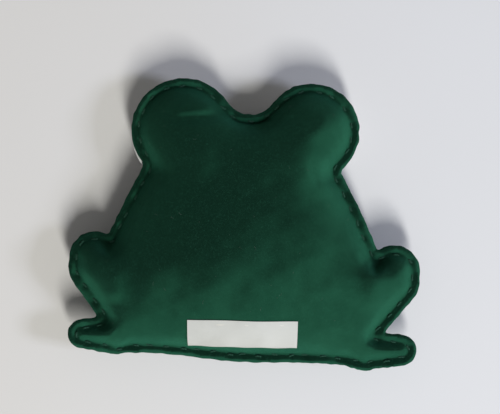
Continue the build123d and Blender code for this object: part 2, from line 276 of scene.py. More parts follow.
@dataclass(frozen=True)
class Pattern:
    """The outline that both felt panels are cut to."""

    left_eye: Patch = Patch(-30.4, 40.1, 23.4)
    right_eye: Patch = Patch(27.3, 42.1, 21.6)
    left_knee: tuple[Patch, ...] = (
        Patch(-67.6, -18.9, 11.6),
        Patch(-66.6, -23.2, 12.6),
        Patch(-54.0, -40.0, 12.0),
    )
    right_knee: tuple[Patch, ...] = (
        Patch(67.6, -18.9, 11.6),
        Patch(66.6, -23.2, 12.6),
        Patch(54.0, -40.0, 12.0),
    )
    left_foot: tuple[Patch, Patch] = (Patch(-71.9, -53.7, 6.4), Patch(-58.0, -53.5, 8.5))
    right_foot: tuple[Patch, Patch] = (Patch(72.5, -54.3, 6.7), Patch(58.0, -55.1, 8.5))
    left_hip: Point = (-64.0, -14.3)
    right_hip: Point = (61.6, -14.3)
    left_shoulder: Point = (-42.8, 32.1)
    right_shoulder: Point = (35.3, 34.1)
    flank_bulge: float = 0.9
    flank_points: int = 9
    dip_y: float = 48.5
    dip_fillet: float = 6.0
    dip_sides: Point = (20.0, 12.0)
    dip_rise: Point = (30.0, 40.0)
    crevice_fillet: float = 2.0
    hem_y: float = -62.8
    hem_wave: float = 1.5
    hem_wave_pitch: float = 72.0
    hem_points: int = 33

    def flank(self, hip: Point, shoulder: Point, side: int) -> Array:
        """Points of one flank from hip to shoulder: a straight line and a half sine that bulges it.

        Args:
            hip: its lower end.
            shoulder: its upper end.
            side: -1 for the left, 1 for the right.

        Returns:
            The points, in order.
        """
        share = np.linspace(0.0, 1.0, self.flank_points)
        dx, dy = shoulder[0] - hip[0], shoulder[1] - hip[1]
        run = math.hypot(dx, dy)
        out = self.flank_bulge * np.sin(math.pi * share)
        x = hip[0] + dx * share + side * out * dy / run
        y = hip[1] + dy * share - side * out * dx / run
        return np.column_stack([x, y])

    def hem(self) -> Array:
        """Points of the hem from right to left: a straight line and two squared sine waves."""
        right, left = self.right_foot[1], self.left_foot[1]
        x = np.linspace(right.x, left.x, self.hem_points)
        share = (x - right.x) / (left.x - right.x)
        y = (right.y - right.r) * (1.0 - share) + (left.y - left.r) * share
        y = y + self.hem_wave * np.sin(math.pi * x / self.hem_wave_pitch) ** 2
        return np.column_stack([x, y])

    def torso(self) -> Array:
        """Corners of the torso, all the way round."""
        top = np.array([[self.left_eye.x, self.dip_y], [self.right_eye.x, self.dip_y]])
        left = self.flank(self.left_hip, self.left_shoulder, -1)
        right = self.flank(self.right_hip, self.right_shoulder, 1)
        return np.concatenate([left, top, right[::-1], self.hem()])

    def distance(self, x: Array, y: Array) -> Array:
        """Distance outside the whole outline, negative inside: every patch joined with fillets.

        Args:
            x: x of the points.
            y: y of the points.

        Returns:
            The distance at each point.
        """
        dip = eased(*self.dip_sides, np.abs(x)) * eased(*self.dip_rise, y)
        fillet = self.crevice_fillet + (self.dip_fillet - self.crevice_fillet) * dip
        whole = polygon(x, y, self.torso())
        eyes = np.minimum(self.left_eye.distance(x, y), self.right_eye.distance(x, y))
        whole = joined(whole, eyes, fillet)
        for knee in (self.left_knee, self.right_knee):
            middle = np.array([(p.x, p.y) for p in knee])
            leg = polygon(x, y, middle)
            for one, two in ((0, 1), (1, 2), (0, 2)):
                leg = np.minimum(leg, stretched(x, y, knee[one], knee[two]))
            whole = joined(whole, leg, fillet)
        for foot in (self.left_foot, self.right_foot):
            whole = joined(whole, stretched(x, y, *foot), fillet)
        return whole

    def path(self, inset: float) -> Array:
        """A closed line inside the outline at one distance from it.

        It walks along the distance field: each step goes square to the field's slope, and two
        corrections down the slope put it back on the line.

        Args:
            inset: distance inside the outline.

        Returns:
            Points of the line, evenly spaced, the first one not repeated.
        """
        step, near_start, reach = 1.0, 0.75, 0.05
        corrections, fewest_steps, most_steps = 2, 40, 4000

        def field_at(p: Array) -> tuple[float, Array]:
            """How far a point is off the line, and the field's unit slope there.

            Args:
                p: the point.

            Returns:
                The distance and the slope.
            """
            x = p[0] + np.array([0.0, reach, -reach, 0.0, 0.0])
            y = p[1] + np.array([0.0, 0.0, 0.0, reach, -reach])
            d = self.distance(x, y)
            slope = np.array([d[1] - d[2], d[3] - d[4]]) / (2.0 * reach)
            return d[0] + inset, slope / max(np.linalg.norm(slope), NEXT_TO_NONE)

        place = np.array([0.0, self.hem_y + inset])
        walked = []
        for _ in range(most_steps):
            for _ in range(corrections):
                off, slope = field_at(place)
                place = place - off * slope
            walked.append(place)
            if len(walked) > fewest_steps and np.linalg.norm(place - walked[0]) < near_start:
                break
            place = place + step * np.array([-slope[1], slope[0]])
        return evenly(np.array(walked))


def measured(line: Array) -> Places:
    """A closed line with its first point repeated at its end, and the length run at each point."""
    closed = np.vstack([line, line[:1]])
    return closed, np.concatenate([[0.0], np.cumsum(np.linalg.norm(np.diff(closed, axis=0), axis=1))])


def placed(wanted: Array, closed: Array, length: Array) -> Array:
    """The flat places on a measured line at the lengths that are wanted."""
    return np.column_stack([np.interp(wanted, length, closed[:, k]) for k in range(2)])


def evenly(line: Array) -> Array:
    """A closed line's points, spread evenly along its length."""
    closed, length = measured(line)
    return placed(np.linspace(0.0, length[-1], len(line), endpoint=False), closed, length)


@dataclass(frozen=True)
class Plump:
    """A round region where the filling is packed tighter, and by what share."""

    x: float
    y: float
    reach: float
    share: float

    def gain(self, x: Array, y: Array) -> Array:
        """The extra share: a bell round the middle."""
        return self.share * bump(np.hypot(x - self.x, y - self.y), self.reach)


def spline_weights(t: Array) -> tuple[Array, Array, Array, Array]:
    """The four weights of a cubic B-spline at share t of the way between two points."""
    return (
        (1 - t) ** 3 / 6,
        (3 * t**3 - 6 * t**2 + 4) / 6,
        (-3 * t**3 + 3 * t**2 + 3 * t + 1) / 6,
        t**3 / 6,
    )


def sampled(values: Array, axes: Places, x: Array, y: Array) -> Array:
    """Values of a square grid at any place, weighted by cubic B-splines.

    Args:
        values: the grid, one row for each y.
        axes: its x and y lines.
        x: x of the places.
        y: y of the places.

    Returns:
        The smoothed value at each place.
    """
    xs, ys = axes
    step = xs[1] - xs[0]
    u, v = (x - xs[0]) / step, (y - ys[0]) / step
    i, j = np.floor(u).astype(int), np.floor(v).astype(int)
    total = np.zeros(np.shape(x))
    for di, wi in zip(range(-1, 3), spline_weights(u - i)):
        for dj, wj in zip(range(-1, 3), spline_weights(v - j)):
            column, row = np.clip(i + di, 0, len(xs) - 1), np.clip(j + dj, 0, len(ys) - 1)
            total += wi * wj * values[row, column]
    return total


@dataclass
class Pressed:
    """A skin held at the seam and pressed from inside.

    It stands at u, where the Laplacian of u is u over the square of a levelling length, less 1. A
    short length makes small lobes stand nearly as tall as the middle, a long one makes one dome.
    What is kept is u's share of its highest value, and that share divided by the depth inside the
    seam, which is smooth as far as the seam and is carried a few squares past it.
    """

    pattern: Pattern
    seam_inset: float
    levelling: float
    step: float = 1.2
    half: Point = (84.0, 69.0)
    least_depth: float = 0.36
    most_passes: int = 900
    solved: float = NEXT_TO_NONE
    spread_passes: int = 8
    full_from: Point = (3.0, 6.5)
    shares: Array = field(init=False)
    share_per_depth: Array = field(init=False)
    axes: Places = field(init=False)

    def __post_init__(self) -> None:
        """Solves for u by conjugate gradients."""
        self.axes = grid_lines(self.half, self.step)
        gx, gy = np.meshgrid(*self.axes)
        depth = -self.pattern.distance(gx, gy) - self.seam_inset
        inside = depth > 0.0
        held = np.maximum(depth, self.least_depth)
        sides = ((1, 0), (-1, 0), (1, 1), (-1, 1))
        diagonal = np.full(gx.shape, (self.step / self.levelling) ** 2)
        for shift, axis in sides:
            beside = np.roll(depth, shift, axis)
            diagonal += np.where(beside > 0.0, 1.0, 1.0 - beside / held)

        def pull(u: Array) -> Array:
            """The pressed skin's pull at each place: its own share less its neighbours'."""
            return (diagonal * u - sum(np.roll(u, shift, axis) for shift, axis in sides)) * inside

        u = np.zeros(gx.shape)
        rest = inside.astype(float)
        way, size = rest.copy(), np.sum(rest * rest)
        for _ in range(self.most_passes):
            carried = pull(way)
            length = size / np.sum(way * carried)
            u, rest = u + length * way, rest - length * carried
            smaller = np.sum(rest * rest)
            if smaller < self.solved:
                break
            way, size = rest + way * smaller / size, smaller
        u = u / u.max()
        ratio, known = np.where(inside, u / held, 0.0), inside.astype(float)
        for _ in range(self.spread_passes):
            count = sum(np.roll(known, shift, axis) for shift, axis in sides)
            near = sum(np.roll(ratio * known, shift, axis) for shift, axis in sides)
            mean = near / np.maximum(count, 1.0)
            ratio = np.where(known > 0.0, ratio, mean)
            known = np.maximum(known, np.minimum(count, 1.0))
        self.shares, self.share_per_depth = u * inside, ratio

    def share(self, x: Array, y: Array, depth: Array) -> Array:
        """The share of the skin's highest stand: nothing outside the seam, and by the depth near it."""
        near = depth * np.maximum(sampled(self.share_per_depth, self.axes, x, y), 0.0)
        return near + eased(*self.full_from, depth) * (sampled(self.shares, self.axes, x, y) - near)


@dataclass
class Pillow:
    """The lift that the filling gives each panel, as if the pair were blown up.

    It is the close crown times the square root of a closely levelled skin's share, plumper in the
    lobes, plus the broad crown times a single dome's share, which falls off towards the head. It
    is no steeper at the seam than the edge slope times the true distance from the seam's line.
    """

    pattern: Pattern
    seam_inset: float = 3.9
    close_crown: float = 9.6
    close_levelling: float = 10.0
    broad_crown: float = 11.0
    head_fall: float = 0.3
    head_from: Point = (-30.0, 48.0)
    broad_levelling: float = 60.0
    edge_slope: float = 1.7
    true_gap_from: Point = (1.0, 3.0)
    softness: float = 1.2
    softness_from: Point = (0.0, 1.5)
    plumps: tuple[Plump, ...] = (
        Plump(0.0, -42.0, 22.0, 0.18),
        Plump(-30.4, 42.0, 16.0, 0.4),
        Plump(27.3, 44.0, 15.0, 0.42),
        Plump(-66.0, -23.0, 14.0, 0.4),
        Plump(66.0, -23.0, 14.0, 0.3),
        Plump(-65.0, -53.6, 11.0, 0.35),
        Plump(65.0, -54.5, 11.0, 0.35),
    )
    close: Pressed = field(init=False)
    broad: Pressed = field(init=False)
    seam_gap: Array = field(init=False)

    def __post_init__(self) -> None:
        """Presses both skins, and measures how far each place inside is from the seam's line."""
        self.close = Pressed(self.pattern, self.seam_inset, self.close_levelling)
        self.broad = Pressed(self.pattern, self.seam_inset, self.broad_levelling)
        gx, gy = np.meshgrid(*self.close.axes)
        line = self.pattern.path(self.seam_inset)
        gap, parts = np.full(gx.shape, np.inf), 12
        for part in np.array_split(line, parts):
            away = np.hypot(gx[..., None] - part[:, 0], gy[..., None] - part[:, 1])
            gap = np.minimum(gap, away.min(axis=-1))
        self.seam_gap = np.where(self.pattern.distance(gx, gy) < -self.seam_inset, gap, 0.0)

    def lift(self, x: Array, y: Array) -> Array:
        """How far the filling lifts each panel off the flat, nothing outside the seam.

        Args:
            x: x of the points.
            y: y of the points.

        Returns:
            The lift at each point.
        """
        depth = np.maximum(-self.pattern.distance(x, y) - self.seam_inset, 0.0)
        gain = 1.0 + sum(plump.gain(x, y) for plump in self.plumps)
        full = self.close_crown * gain * np.sqrt(self.close.share(x, y, depth) + NEXT_TO_NONE)
        fall = 1.0 - self.head_fall * eased(*self.head_from, y)
        full = full + self.broad_crown * fall * self.broad.share(x, y, depth)
        further = np.maximum(sampled(self.seam_gap, self.close.axes, x, y) - depth, 0.0)
        reach = depth + eased(*self.true_gap_from, depth) * further
        softness = self.softness * eased(*self.softness_from, depth)
        return np.maximum(softer_min(full, self.edge_slope * reach, softness), 0.0)


# ------------------------------------------------------------------ meshes from arrays
def grid_faces(rows: int, columns: int, wrap_columns: bool = False) -> Array:
    """The four-sided faces of a grid whose points are numbered row by row.

    Args:
        rows: number of rows of points.
        columns: number of columns of points.
        wrap_columns: whether the last column joins the first.

    Returns:
        One row of four point numbers for each face.
    """
    r = np.arange(rows - 1)[:, None]
    c = np.arange(columns if wrap_columns else columns - 1)[None, :]
    r2, c2 = r + 1, (c + 1) % columns
    corners = [r * columns + c, r * columns + c2, r2 * columns + c2, r2 * columns + c]
    return np.stack(corners, -1).reshape(-1, 4)


def new_mesh(name: str, points: Array, faces: Array, uv: Array | None = None) -> Piece:
    """A mesh object from arrays in millimetres, at the origin.

    Args:
        name: the piece's name.
        points: its points.
        faces: its faces, four point numbers each.
        uv: a pair of numbers for each point, if a pattern follows the surface.

    Returns:
        The new object.
    """
    mesh = bpy.data.meshes.new(name)
    mesh.from_pydata((np.asarray(points, float) * MM).tolist(), [], faces.tolist())
    mesh.polygons.foreach_set("use_smooth", np.ones(len(mesh.polygons), bool))
    if uv is not None:
        corner = np.zeros(len(mesh.loops), np.int32)
        mesh.loops.foreach_get("vertex_index", corner)
        layer = mesh.uv_layers.new(name="along")
        layer.data.foreach_set("uv", np.asarray(uv, np.float32)[corner].ravel())
    mesh.update()
    made = bpy.data.objects.new(name, mesh)
    bpy.context.scene.collection.objects.link(made)
    return made


def tidied(piece: Piece, merge: float = 0.002) -> Piece:
    """Closes poles and seams: merges points that coincide, then turns every face outwards.

    Args:
        piece: the mesh object.
        merge: distance in millimetres within which points become one.

    Returns:
        The same object.
    """
    work = bmesh.new()
    work.from_mesh(piece.data)
    bmesh.ops.remove_doubles(work, verts=work.verts, dist=merge * MM)
    bmesh.ops.dissolve_degenerate(work, edges=work.edges, dist=merge * MM / 4)
    bmesh.ops.recalc_face_normals(work, faces=work.faces)
    work.to_mesh(piece.data)
    work.free()
    piece.data.update()
    return piece


def dressed(piece: Piece, finish: "Finish", slot: str, *nodes: str) -> Piece:
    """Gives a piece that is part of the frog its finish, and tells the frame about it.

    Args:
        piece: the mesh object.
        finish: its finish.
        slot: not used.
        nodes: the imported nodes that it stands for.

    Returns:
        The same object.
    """
    piece.data.materials.append(finish.material())
    if nodes:
        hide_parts(*nodes)
    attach(piece, Body.FROG.value)
    return piece


def tubes(
    centre: Array, normal: Array, radius: Array, sides: int, twist: Array, ply: float
) -> Cords:
    """Many short round cords at once, each swept along its own line.

    Round each point a ring is drawn in the plane of the normal and the binormal; its radius swells
    by the ply share where the cosine of twice the turn, less the twist, is high.

    Args:
        centre: line points, (cords, points, 3).
        normal: a direction square to each line, the same shape.
        radius: radius at each point, (cords, points).
        sides: points in one ring.
        twist: turn of the plies at each point, (cords, points).
        ply: share by which the plies stand out.

    Returns:
        Points, faces, and along-and-round numbers for a pattern.
    """
    cords, steps, _ = centre.shape
    tangent = np.gradient(centre, axis=1)
    never_none = 1e-12
    tangent /= np.linalg.norm(tangent, axis=2, keepdims=True) + never_none
    normal = normal - tangent * np.sum(normal * tangent, axis=2, keepdims=True)
    normal /= np.linalg.norm(normal, axis=2, keepdims=True) + never_none
    binormal = np.cross(tangent, normal)
    turn = np.arange(sides) * math.tau / sides
    swell = 1.0 + ply * np.cos(2.0 * (turn[None, None, :] - twist[:, :, None]))
    reach = radius[:, :, None] * swell
    ring = (
        centre[:, :, None, :]
        + reach[..., None] * np.cos(turn)[None, None, :, None] * normal[:, :, None, :]
        + reach[..., None] * np.sin(turn)[None, None, :, None] * binormal[:, :, None, :]
    )
    one = grid_faces(steps, sides, wrap_columns=True)
    faces = (one[None] + (np.arange(cords) * steps * sides)[:, None, None]).reshape(-1, 4)
    along = np.broadcast_to(twist[:, :, None] / math.tau, reach.shape)
    around = np.broadcast_to(turn / math.tau, reach.shape)
    return ring.reshape(-1, 3), faces, np.stack([along, around], -1).reshape(-1, 2)


# ------------------------------------------------------------------ the lattice of a felt panel
@dataclass
class Lattice:
    """A square lattice over the pattern whose rim lies on a line inside the outline."""

    pattern: Pattern
    step: float
    inset: float = 0.0
    ragged: float = 0.0
    ragged_size: float = 5.0
    half: Point = (82.0, 67.0)
    passes: int = 6
    x: Array = field(init=False)
    y: Array = field(init=False)
    quads: Array = field(init=False)
    rim: Array = field(init=False)
    grid: Places = field(init=False)
    number: Array = field(init=False)

    def __post_init__(self) -> None:
        """Keeps the squares inside the outline and pulls the rim's points on to it."""
        self.grid = grid_lines(self.half, self.step)
        gx, gy = np.meshgrid(*self.grid)
        spare = 0.4 * self.step
        inside = self.pattern.distance(gx, gy) + self.inset < -spare
        square = inside[:-1, :-1] & inside[1:, :-1] & inside[:-1, 1:] & inside[1:, 1:]
        for _ in range(self.passes):
            square = self.without_loose(square)
        count = self.squares_round(square)
        used = count > 0
        number = np.full(gx.shape, -1)
        number[used] = np.arange(used.sum())
        row, column = np.nonzero(square)
        corners = ((0, 0), (0, 1), (1, 1), (1, 0))
        self.quads = np.column_stack([number[row + up, column + on] for up, on in corners])
        self.x, self.y = gx[used].copy(), gy[used].copy()
        self.rim = count[used] < 4
        self.number = number
        self.pull_rim()

    @staticmethod
    def squares_round(square: Array) -> Array:
        """How many kept squares touch each lattice point."""
        padded = np.pad(square.astype(int), 1)
        return padded[:-1, :-1] + padded[1:, :-1] + padded[:-1, 1:] + padded[1:, 1:]

    @staticmethod
    def without_loose(square: Array) -> Array:
        """Drops squares that hang on by one side or touch others at a corner only.

        Args:
            square: whether each square is kept.

        Returns:
            Whether each is still kept.
        """
        p = np.pad(square, 1)
        beside = p[:-2, 1:-1].astype(int) + p[2:, 1:-1] + p[1:-1, :-2] + p[1:-1, 2:]
        kept = square & (beside >= 2)
        a, b, c, d = kept[:-1, :-1], kept[1:, 1:], kept[1:, :-1], kept[:-1, 1:]
        kept[:-1, :-1] &= ~(a & b & ~c & ~d)
        kept[1:, :-1] &= ~(c & d & ~a & ~b)
        return kept

    def pull_rim(self) -> None:
        """Moves each rim point down the distance field's slope until it lies on the line."""
        reach, least = 0.05, 0.2
        for _ in range(self.passes):
            x, y = self.x[self.rim], self.y[self.rim]
            cut = self.ragged * waves(x, y, self.ragged_size, Seed.RAGGED_RIM)
            off = self.pattern.distance(x, y) + self.inset + cut
            slope_x, slope_y = slopes(self.pattern.distance, x, y, reach)
            length = np.maximum(slope_x**2 + slope_y**2, least)
            self.x[self.rim] = x - off * slope_x / length
            self.y[self.rim] = y - off * slope_y / length


# ------------------------------------------------------------------ folds and dents in the felt
FOLD_START = (-0.15, 0.2)
FOLD_END = (1.15, 0.8)
PUFF_AWAY = 2.1
PUFF_WIDTH = 1.5


@dataclass(frozen=True)
class Fold:
    """A crease pressed into the stuffed shape along a short line, with a puff beside it.

    A depth below zero makes a ridge.
    """

    start: Point
    end: Point
    depth: float
    width: float
    puff: float = 0.0
    puff_side: int = 1

    def shift(self, x: Array, y: Array) -> Array:
        """A bell-shaped valley along the line, fading at its ends, and a lower bell beside it.

        Args:
            x: x of the points.
            y: y of the points.

        Returns:
            The shift of the surface, negative in the valley.
        """
        share, left = along_segment(x, y, self.start, self.end)
        fade = eased(*FOLD_START, share) * eased(*FOLD_END, share)
        beside = left * self.puff_side - PUFF_AWAY * self.width
        puff = self.puff * bump(beside, PUFF_WIDTH * self.width)
        return fade * (puff - self.depth * bump(left, self.width))


BACK_FOLDS = (
    Fold((-35.5, 43.8), (-9.0, 47.2), 1.35, 2.7, 0.6, 1),
    Fold((-9.5, 45.0), (11.0, 45.6), 1.5, 1.8),
    Fold((9.0, 46.0), (30.0, 47.0), 0.8, 3.0, 0.3, 1),
    Fold((-56.0, -18.0), (-57.5, -37.0), -1.2, 5.5),
    Fold((57.0, -12.5), (66.0, -17.5), 0.6, 2.8, 0.2, -1),
    Fold((56.0, -18.0), (58.5, -36.0), -1.2, 5.5),
    Fold((-67.0, -48.0), (-56.0, -50.5), -0.8, 3.0),
    Fold((68.0, -48.5), (56.0, -51.0), -0.6, 3.0),
    Fold((-44.0, 24.0), (-34.0, 20.0), 0.9, 4.5),
    Fold((38.0, 25.5), (28.0, 21.0), 0.9, 4.5),
    Fold((-56.0, -54.8), (-18.0, -53.8), -0.9, 2.4),
    Fold((10.0, -55.6), (54.0, -56.6), -0.6, 2.4),
    Fold((-56.0, -58.3), (56.0, -59.9), 0.9, 1.3),
)
FRONT_FOLDS = (
    Fold((-36.0, 24.0), (-24.0, 20.0), 1.0, 3.5),
    Fold((34.0, 25.0), (24.0, 21.0), 1.0, 3.5),
    Fold((-66.0, -46.0), (-55.0, -49.0), 1.6, 2.3),
    Fold((66.0, -47.0), (54.0, -50.0), 1.6, 2.3),
)


# ------------------------------------------------------------------ the two felt skins
@dataclass(frozen=True)
class RimCurl:
    """How the flat rim outside the seam rises and falls, the same for both panels.

    The stitches make it curl up, most at the eyes' tops and on the right, and least on the knees.
    A pair of numbers says where a place's share of the curl starts and where it is whole.
    """

    width: float = 4.6
    everywhere: float = 0.45
    at_eyes: float = 0.5
    eye_tops: Point = (46.0, 60.0)
    eyes_left: Point = (-48.0, -30.0)
    eyes_right: Point = (56.0, 40.0)
    at_right: float = 0.9
    right_side: Point = (10.0, 60.0)
    at_hem: float = 0.3
    hem_band: Point = (-54.0, -59.0)
    at_knees: float = -0.9
    knee_sides: Point = (46.0, 58.0)
    knees_low: Point = (-26.0, -18.0)
    knees_high: Point = (6.0, -6.0)
    ripple: float = 0.45
    ripple_size: float = 17.0

    def lift(self, x: Array, y: Array, depth: Array) -> Array:
        """The lift, which grows with the distance outside the seam, with gentle waves all round.

        Args:
            x: x of the points.
            y: y of the points.
            depth: distance inside the outline.

        Returns:
            The lift at each point.
        """
        across_eyes = eased(*self.eyes_left, x) * eased(*self.eyes_right, x)
        eyes = self.at_eyes * eased(*self.eye_tops, y) * across_eyes
        right = self.at_right * eased(*self.right_side, x)
        hem = self.at_hem * eased(*self.hem_band, y)
        up_knees = eased(*self.knees_low, y) * eased(*self.knees_high, y)
        knees = self.at_knees * eased(*self.knee_sides, np.abs(x)) * up_knees
        ripple = self.ripple * waves(x, y, self.ripple_size, Seed.RIM_RIPPLE)
        return eased(self.width, 0.0, depth) * (self.everywhere + eyes + right + hem + knees + ripple)


@dataclass
class Skin:
    """The outer surface of one felt panel, as a height over the flat pattern.

    What is sewn to it is put in before it is first measured: the middles of the seam's stitches
    and, on the front, the face's felt discs with their thickness and the middles of its stitches.
    """

    face: Face
    pattern: Pattern
    pillow: Pillow
    seam_z: float
    curl: RimCurl = RimCurl()
    felt: float = 1.4
    belly_softness: float = 0.6
    sag: float = 2.6
    sag_centre: Point = (0.0, -8.0)
    sag_from: Point = (36.0, 84.0)
    stuffed_from: Point = (4.2, 9.0)
    lump: float = 0.3
    lump_size: float = 30.0
    small_lump: float = 0.05
    small_lump_size: float = 11.0
    crease_from: Point = (2.4, 4.8)
    edge_round: float = 0.35
    edge_width: float = 0.9
    dent: float = 0.42
    dent_width: float = 1.5
    dent_reach: float = 4.0
    pit: float = 0.75
    pit_width: float = 2.0
    disc_edge: float = 0.6
    slope_reach: float = 0.25
    swell_grid: Array | None = None
    swell_axes: Places | None = None
    stitch_marks: Array = field(init=False)
    floor_discs: tuple[tuple[Patch, float], ...] = ()
    pits: Array = field(init=False)

    def swell(self, x: Array, y: Array) -> Array:
        """What the simulated pressure added, sampled from its grid."""
        if self.swell_grid is None:
            return np.zeros(np.shape(x))
        return sampled(self.swell_grid, self.swell_axes, x, y)

    def seam_height(self, x: Array, y: Array) -> Array:
        """Height of the seam's plane, which sags towards the tips of the lobes."""
        away = np.hypot(x - self.sag_centre[0], y - self.sag_centre[1])
        return self.seam_z - self.sag * eased(*self.sag_from, away)

    def lumps(self, x: Array, y: Array) -> Array:
        """Unevenness of the filling: large gentle waves and faint smaller ones.

        Args:
            x: x of the points.
            y: y of the points.

        Returns:
            The height at each point.
        """
        large = waves(x, y, self.lump_size, Seed.LUMPS + self.face.value)
        small = waves(x, y, self.small_lump_size, Seed.SMALL_LUMPS + self.face.value)
        return self.lump * large + self.small_lump * small

    def height(self, x: Array, y: Array) -> Array:
        """Height of the panel's outer surface.

        It is the seam's height, plus or less the felt and the relief with its folds, lumps, stitch
        dents and rounded edge, and the rim's curl. The front is pressed flat where it would go
        below the floor.

        Args:
            x: x of the points.
            y: y of the points.

        Returns:
            The height at each point.
        """
        depth = -self.pattern.distance(x, y)
        folds = BACK_FOLDS if self.face is Face.BACK else FRONT_FOLDS
        crease = sum(fold.shift(x, y) for fold in folds)
        relief = self.pillow.lift(x, y) + self.swell(x, y)
        relief = relief + eased(*self.stuffed_from, depth) * self.lumps(x, y)
        relief = relief + eased(*self.crease_from, depth) * crease - self.stitch_dents(x, y)
        out = self.felt + relief
        out = out - self.edge_round * np.clip(1.0 - depth / self.edge_width, 0.0, 1.0) ** 2
        curl = self.curl.lift(x, y, depth)
        if self.face is Face.BACK:
            return self.seam_height(x, y) + out + curl
        low = self.seam_height(x, y) - out + curl
        return softer_max(low, self.rest_height(x, y), self.belly_softness) + self.pit_depth(x, y)

    def rest_height(self, x: Array, y: Array) -> Array:
        """What the front panel rests on: the floor, or the felt eyes that lie between.

        Args:
            x: x of the points.
            y: y of the points.

        Returns:
            Its height at each point.
        """
        rest = np.zeros(np.shape(x))
        for disc, thick in self.floor_discs:
            rest = rest + thick * eased(self.disc_edge, -self.disc_edge, disc.distance(x, y))
        return rest

    def pit_depth(self, x: Array, y: Array) -> Array:
        """How far the sunk stitches of the face draw the felt in: a bell round each.

        Args:
            x: x of the points.
            y: y of the points.

        Returns:
            The depth at each point.
        """
        total = np.zeros(np.shape(x))
        for px, py in self.pits:
            total = np.maximum(total, self.pit * bump(np.hypot(x - px, y - py), self.pit_width))
        return total

    def stitch_dents(self, x: Array, y: Array) -> Array:
        """How far each stitch of the seam pulls the felt down: a bell at its middle.

        Args:
            x: x of the points.
            y: y of the points.

        Returns:
            The depth at each point.
        """
        total = np.zeros(np.shape(x))
        near = np.abs(self.pattern.distance(x, y) + STITCH_INSET) < self.dent_reach
        px, py = np.atleast_1d(x)[near], np.atleast_1d(y)[near]
        marks = self.stitch_marks
        gap = np.hypot(px[:, None] - marks[:, 0], py[:, None] - marks[:, 1])
        total[near] = self.dent * bump(gap.min(axis=1), self.dent_width)
        return total

    def places(self, x: Array, y: Array, proud: Array | float) -> Places:
        """Points over the surface and its outward direction there.

        Args:
            x: x of the points.
            y: y of the points.
            proud: distance outside the surface.

        Returns:
            The points and the unit normals.
        """
        slope_x, slope_y = slopes(self.height, x, y, self.slope_reach)
        way = float(self.face.value)
        normal = np.stack([-slope_x * way, -slope_y * way, np.full(np.shape(x), way)], -1)
        normal /= np.linalg.norm(normal, axis=-1, keepdims=True)
        base = np.stack([x, y, self.height(x, y)], -1)
        return base + normal * np.asarray(proud)[..., None], normal


@dataclass(frozen=True)
class Inflation:
    """Blows a skin up with Blender's cloth, held at the seam, and keeps what that adds.

    It starts from the stuffed shape at the slack share of its height, with faint waves. The result
    less the full shape is kept as a grid of added heights, each averaged with its neighbours a few
    times over, and nothing of the cloth object stays. No point moves further than the cap.
    """

    step: float = 2.0
    slack: float = 0.95
    pressure: float = 4.0
    cap: float = 3.0
    frames: int = 20
    wave: float = 0.06
    wave_size: float = 16.0
    wave_from: Point = (4.5, 9.0)
    held_past: float = 0.6
    quality: int = 6
    mass: float = 0.001
    tension: float = 5.0
    shear: float = 3.0
    bending: float = 1.0
    smoothing: int = 8

    def simulated(self, cloth: Piece, pinned: Array) -> Array:
        """Runs the cloth from the first frame to the last, then deletes it.

        Args:
            cloth: its object.
            pinned: numbers of the points that are held.

        Returns:
            Height of each point at the end, in millimetres.
        """
        held = cloth.vertex_groups.new(name="held")
        held.add(pinned.tolist(), 1.0, "REPLACE")
        modifier = cloth.modifiers.new("cloth", "CLOTH")
        settings = modifier.settings
        settings.quality = self.quality
        settings.mass = self.mass
        settings.tension_stiffness = self.tension
        settings.compression_stiffness = self.tension
        settings.shear_stiffness = self.shear
        settings.bending_stiffness = self.bending
        settings.use_pressure = True
        settings.uniform_pressure_force = self.pressure
        settings.vertex_group_mass = held.name
        settings.effector_weights.gravity = 0.0
        modifier.collision_settings.use_collision = False
        modifier.point_cache.frame_start = 1
        modifier.point_cache.frame_end = self.frames
        for number in range(1, self.frames + 1):
            bpy.context.scene.frame_set(number)
        posed = cloth.evaluated_get(bpy.context.evaluated_depsgraph_get())
        result = np.zeros(len(cloth.data.vertices) * 3, np.float32)
        posed.data.vertices.foreach_get("co", result)
        bpy.context.scene.frame_set(1)
        mesh = cloth.data
        bpy.data.objects.remove(cloth)
        bpy.data.meshes.remove(mesh)
        return result.reshape(-1, 3)[:, 2] / MM

    def blow(self, skin: Skin) -> None:
        """Simulates one skin and gives it its grid of added heights.

        Args:
            skin: the skin, which has no such grid yet.
        """
        net = Lattice(skin.pattern, self.step)
        depth = -skin.pattern.distance(net.x, net.y)
        full = skin.pillow.lift(net.x, net.y)
        uneven = self.wave * waves(net.x, net.y, self.wave_size, Seed.CLOTH + skin.face.value)
        relief = full * self.slack + uneven * eased(*self.wave_from, depth)
        start = np.column_stack([net.x, net.y, relief])
        cloth = new_mesh(f"net_{skin.face.name}", start, net.quads)
        pinned = np.nonzero(depth < skin.pillow.seam_inset + self.held_past)[0]
        moved = np.clip(self.simulated(cloth, pinned) - relief, -self.cap, self.cap)
        log.info("%s skin moved %.2f to %.2f mm", skin.face.name, moved.min(), moved.max())
        added = np.zeros(net.number.shape)
        kept = net.number >= 0
        added[kept] = (relief + moved - full)[net.number[kept]]
        for _ in range(self.smoothing):
            added[1:-1] = (added[:-2] + 2.0 * added[1:-1] + added[2:]) / 4.0
            added[:, 1:-1] = (added[:, :-2] + 2.0 * added[:, 1:-1] + added[:, 2:]) / 4.0
        skin.swell_grid, skin.swell_axes = added, net.grid


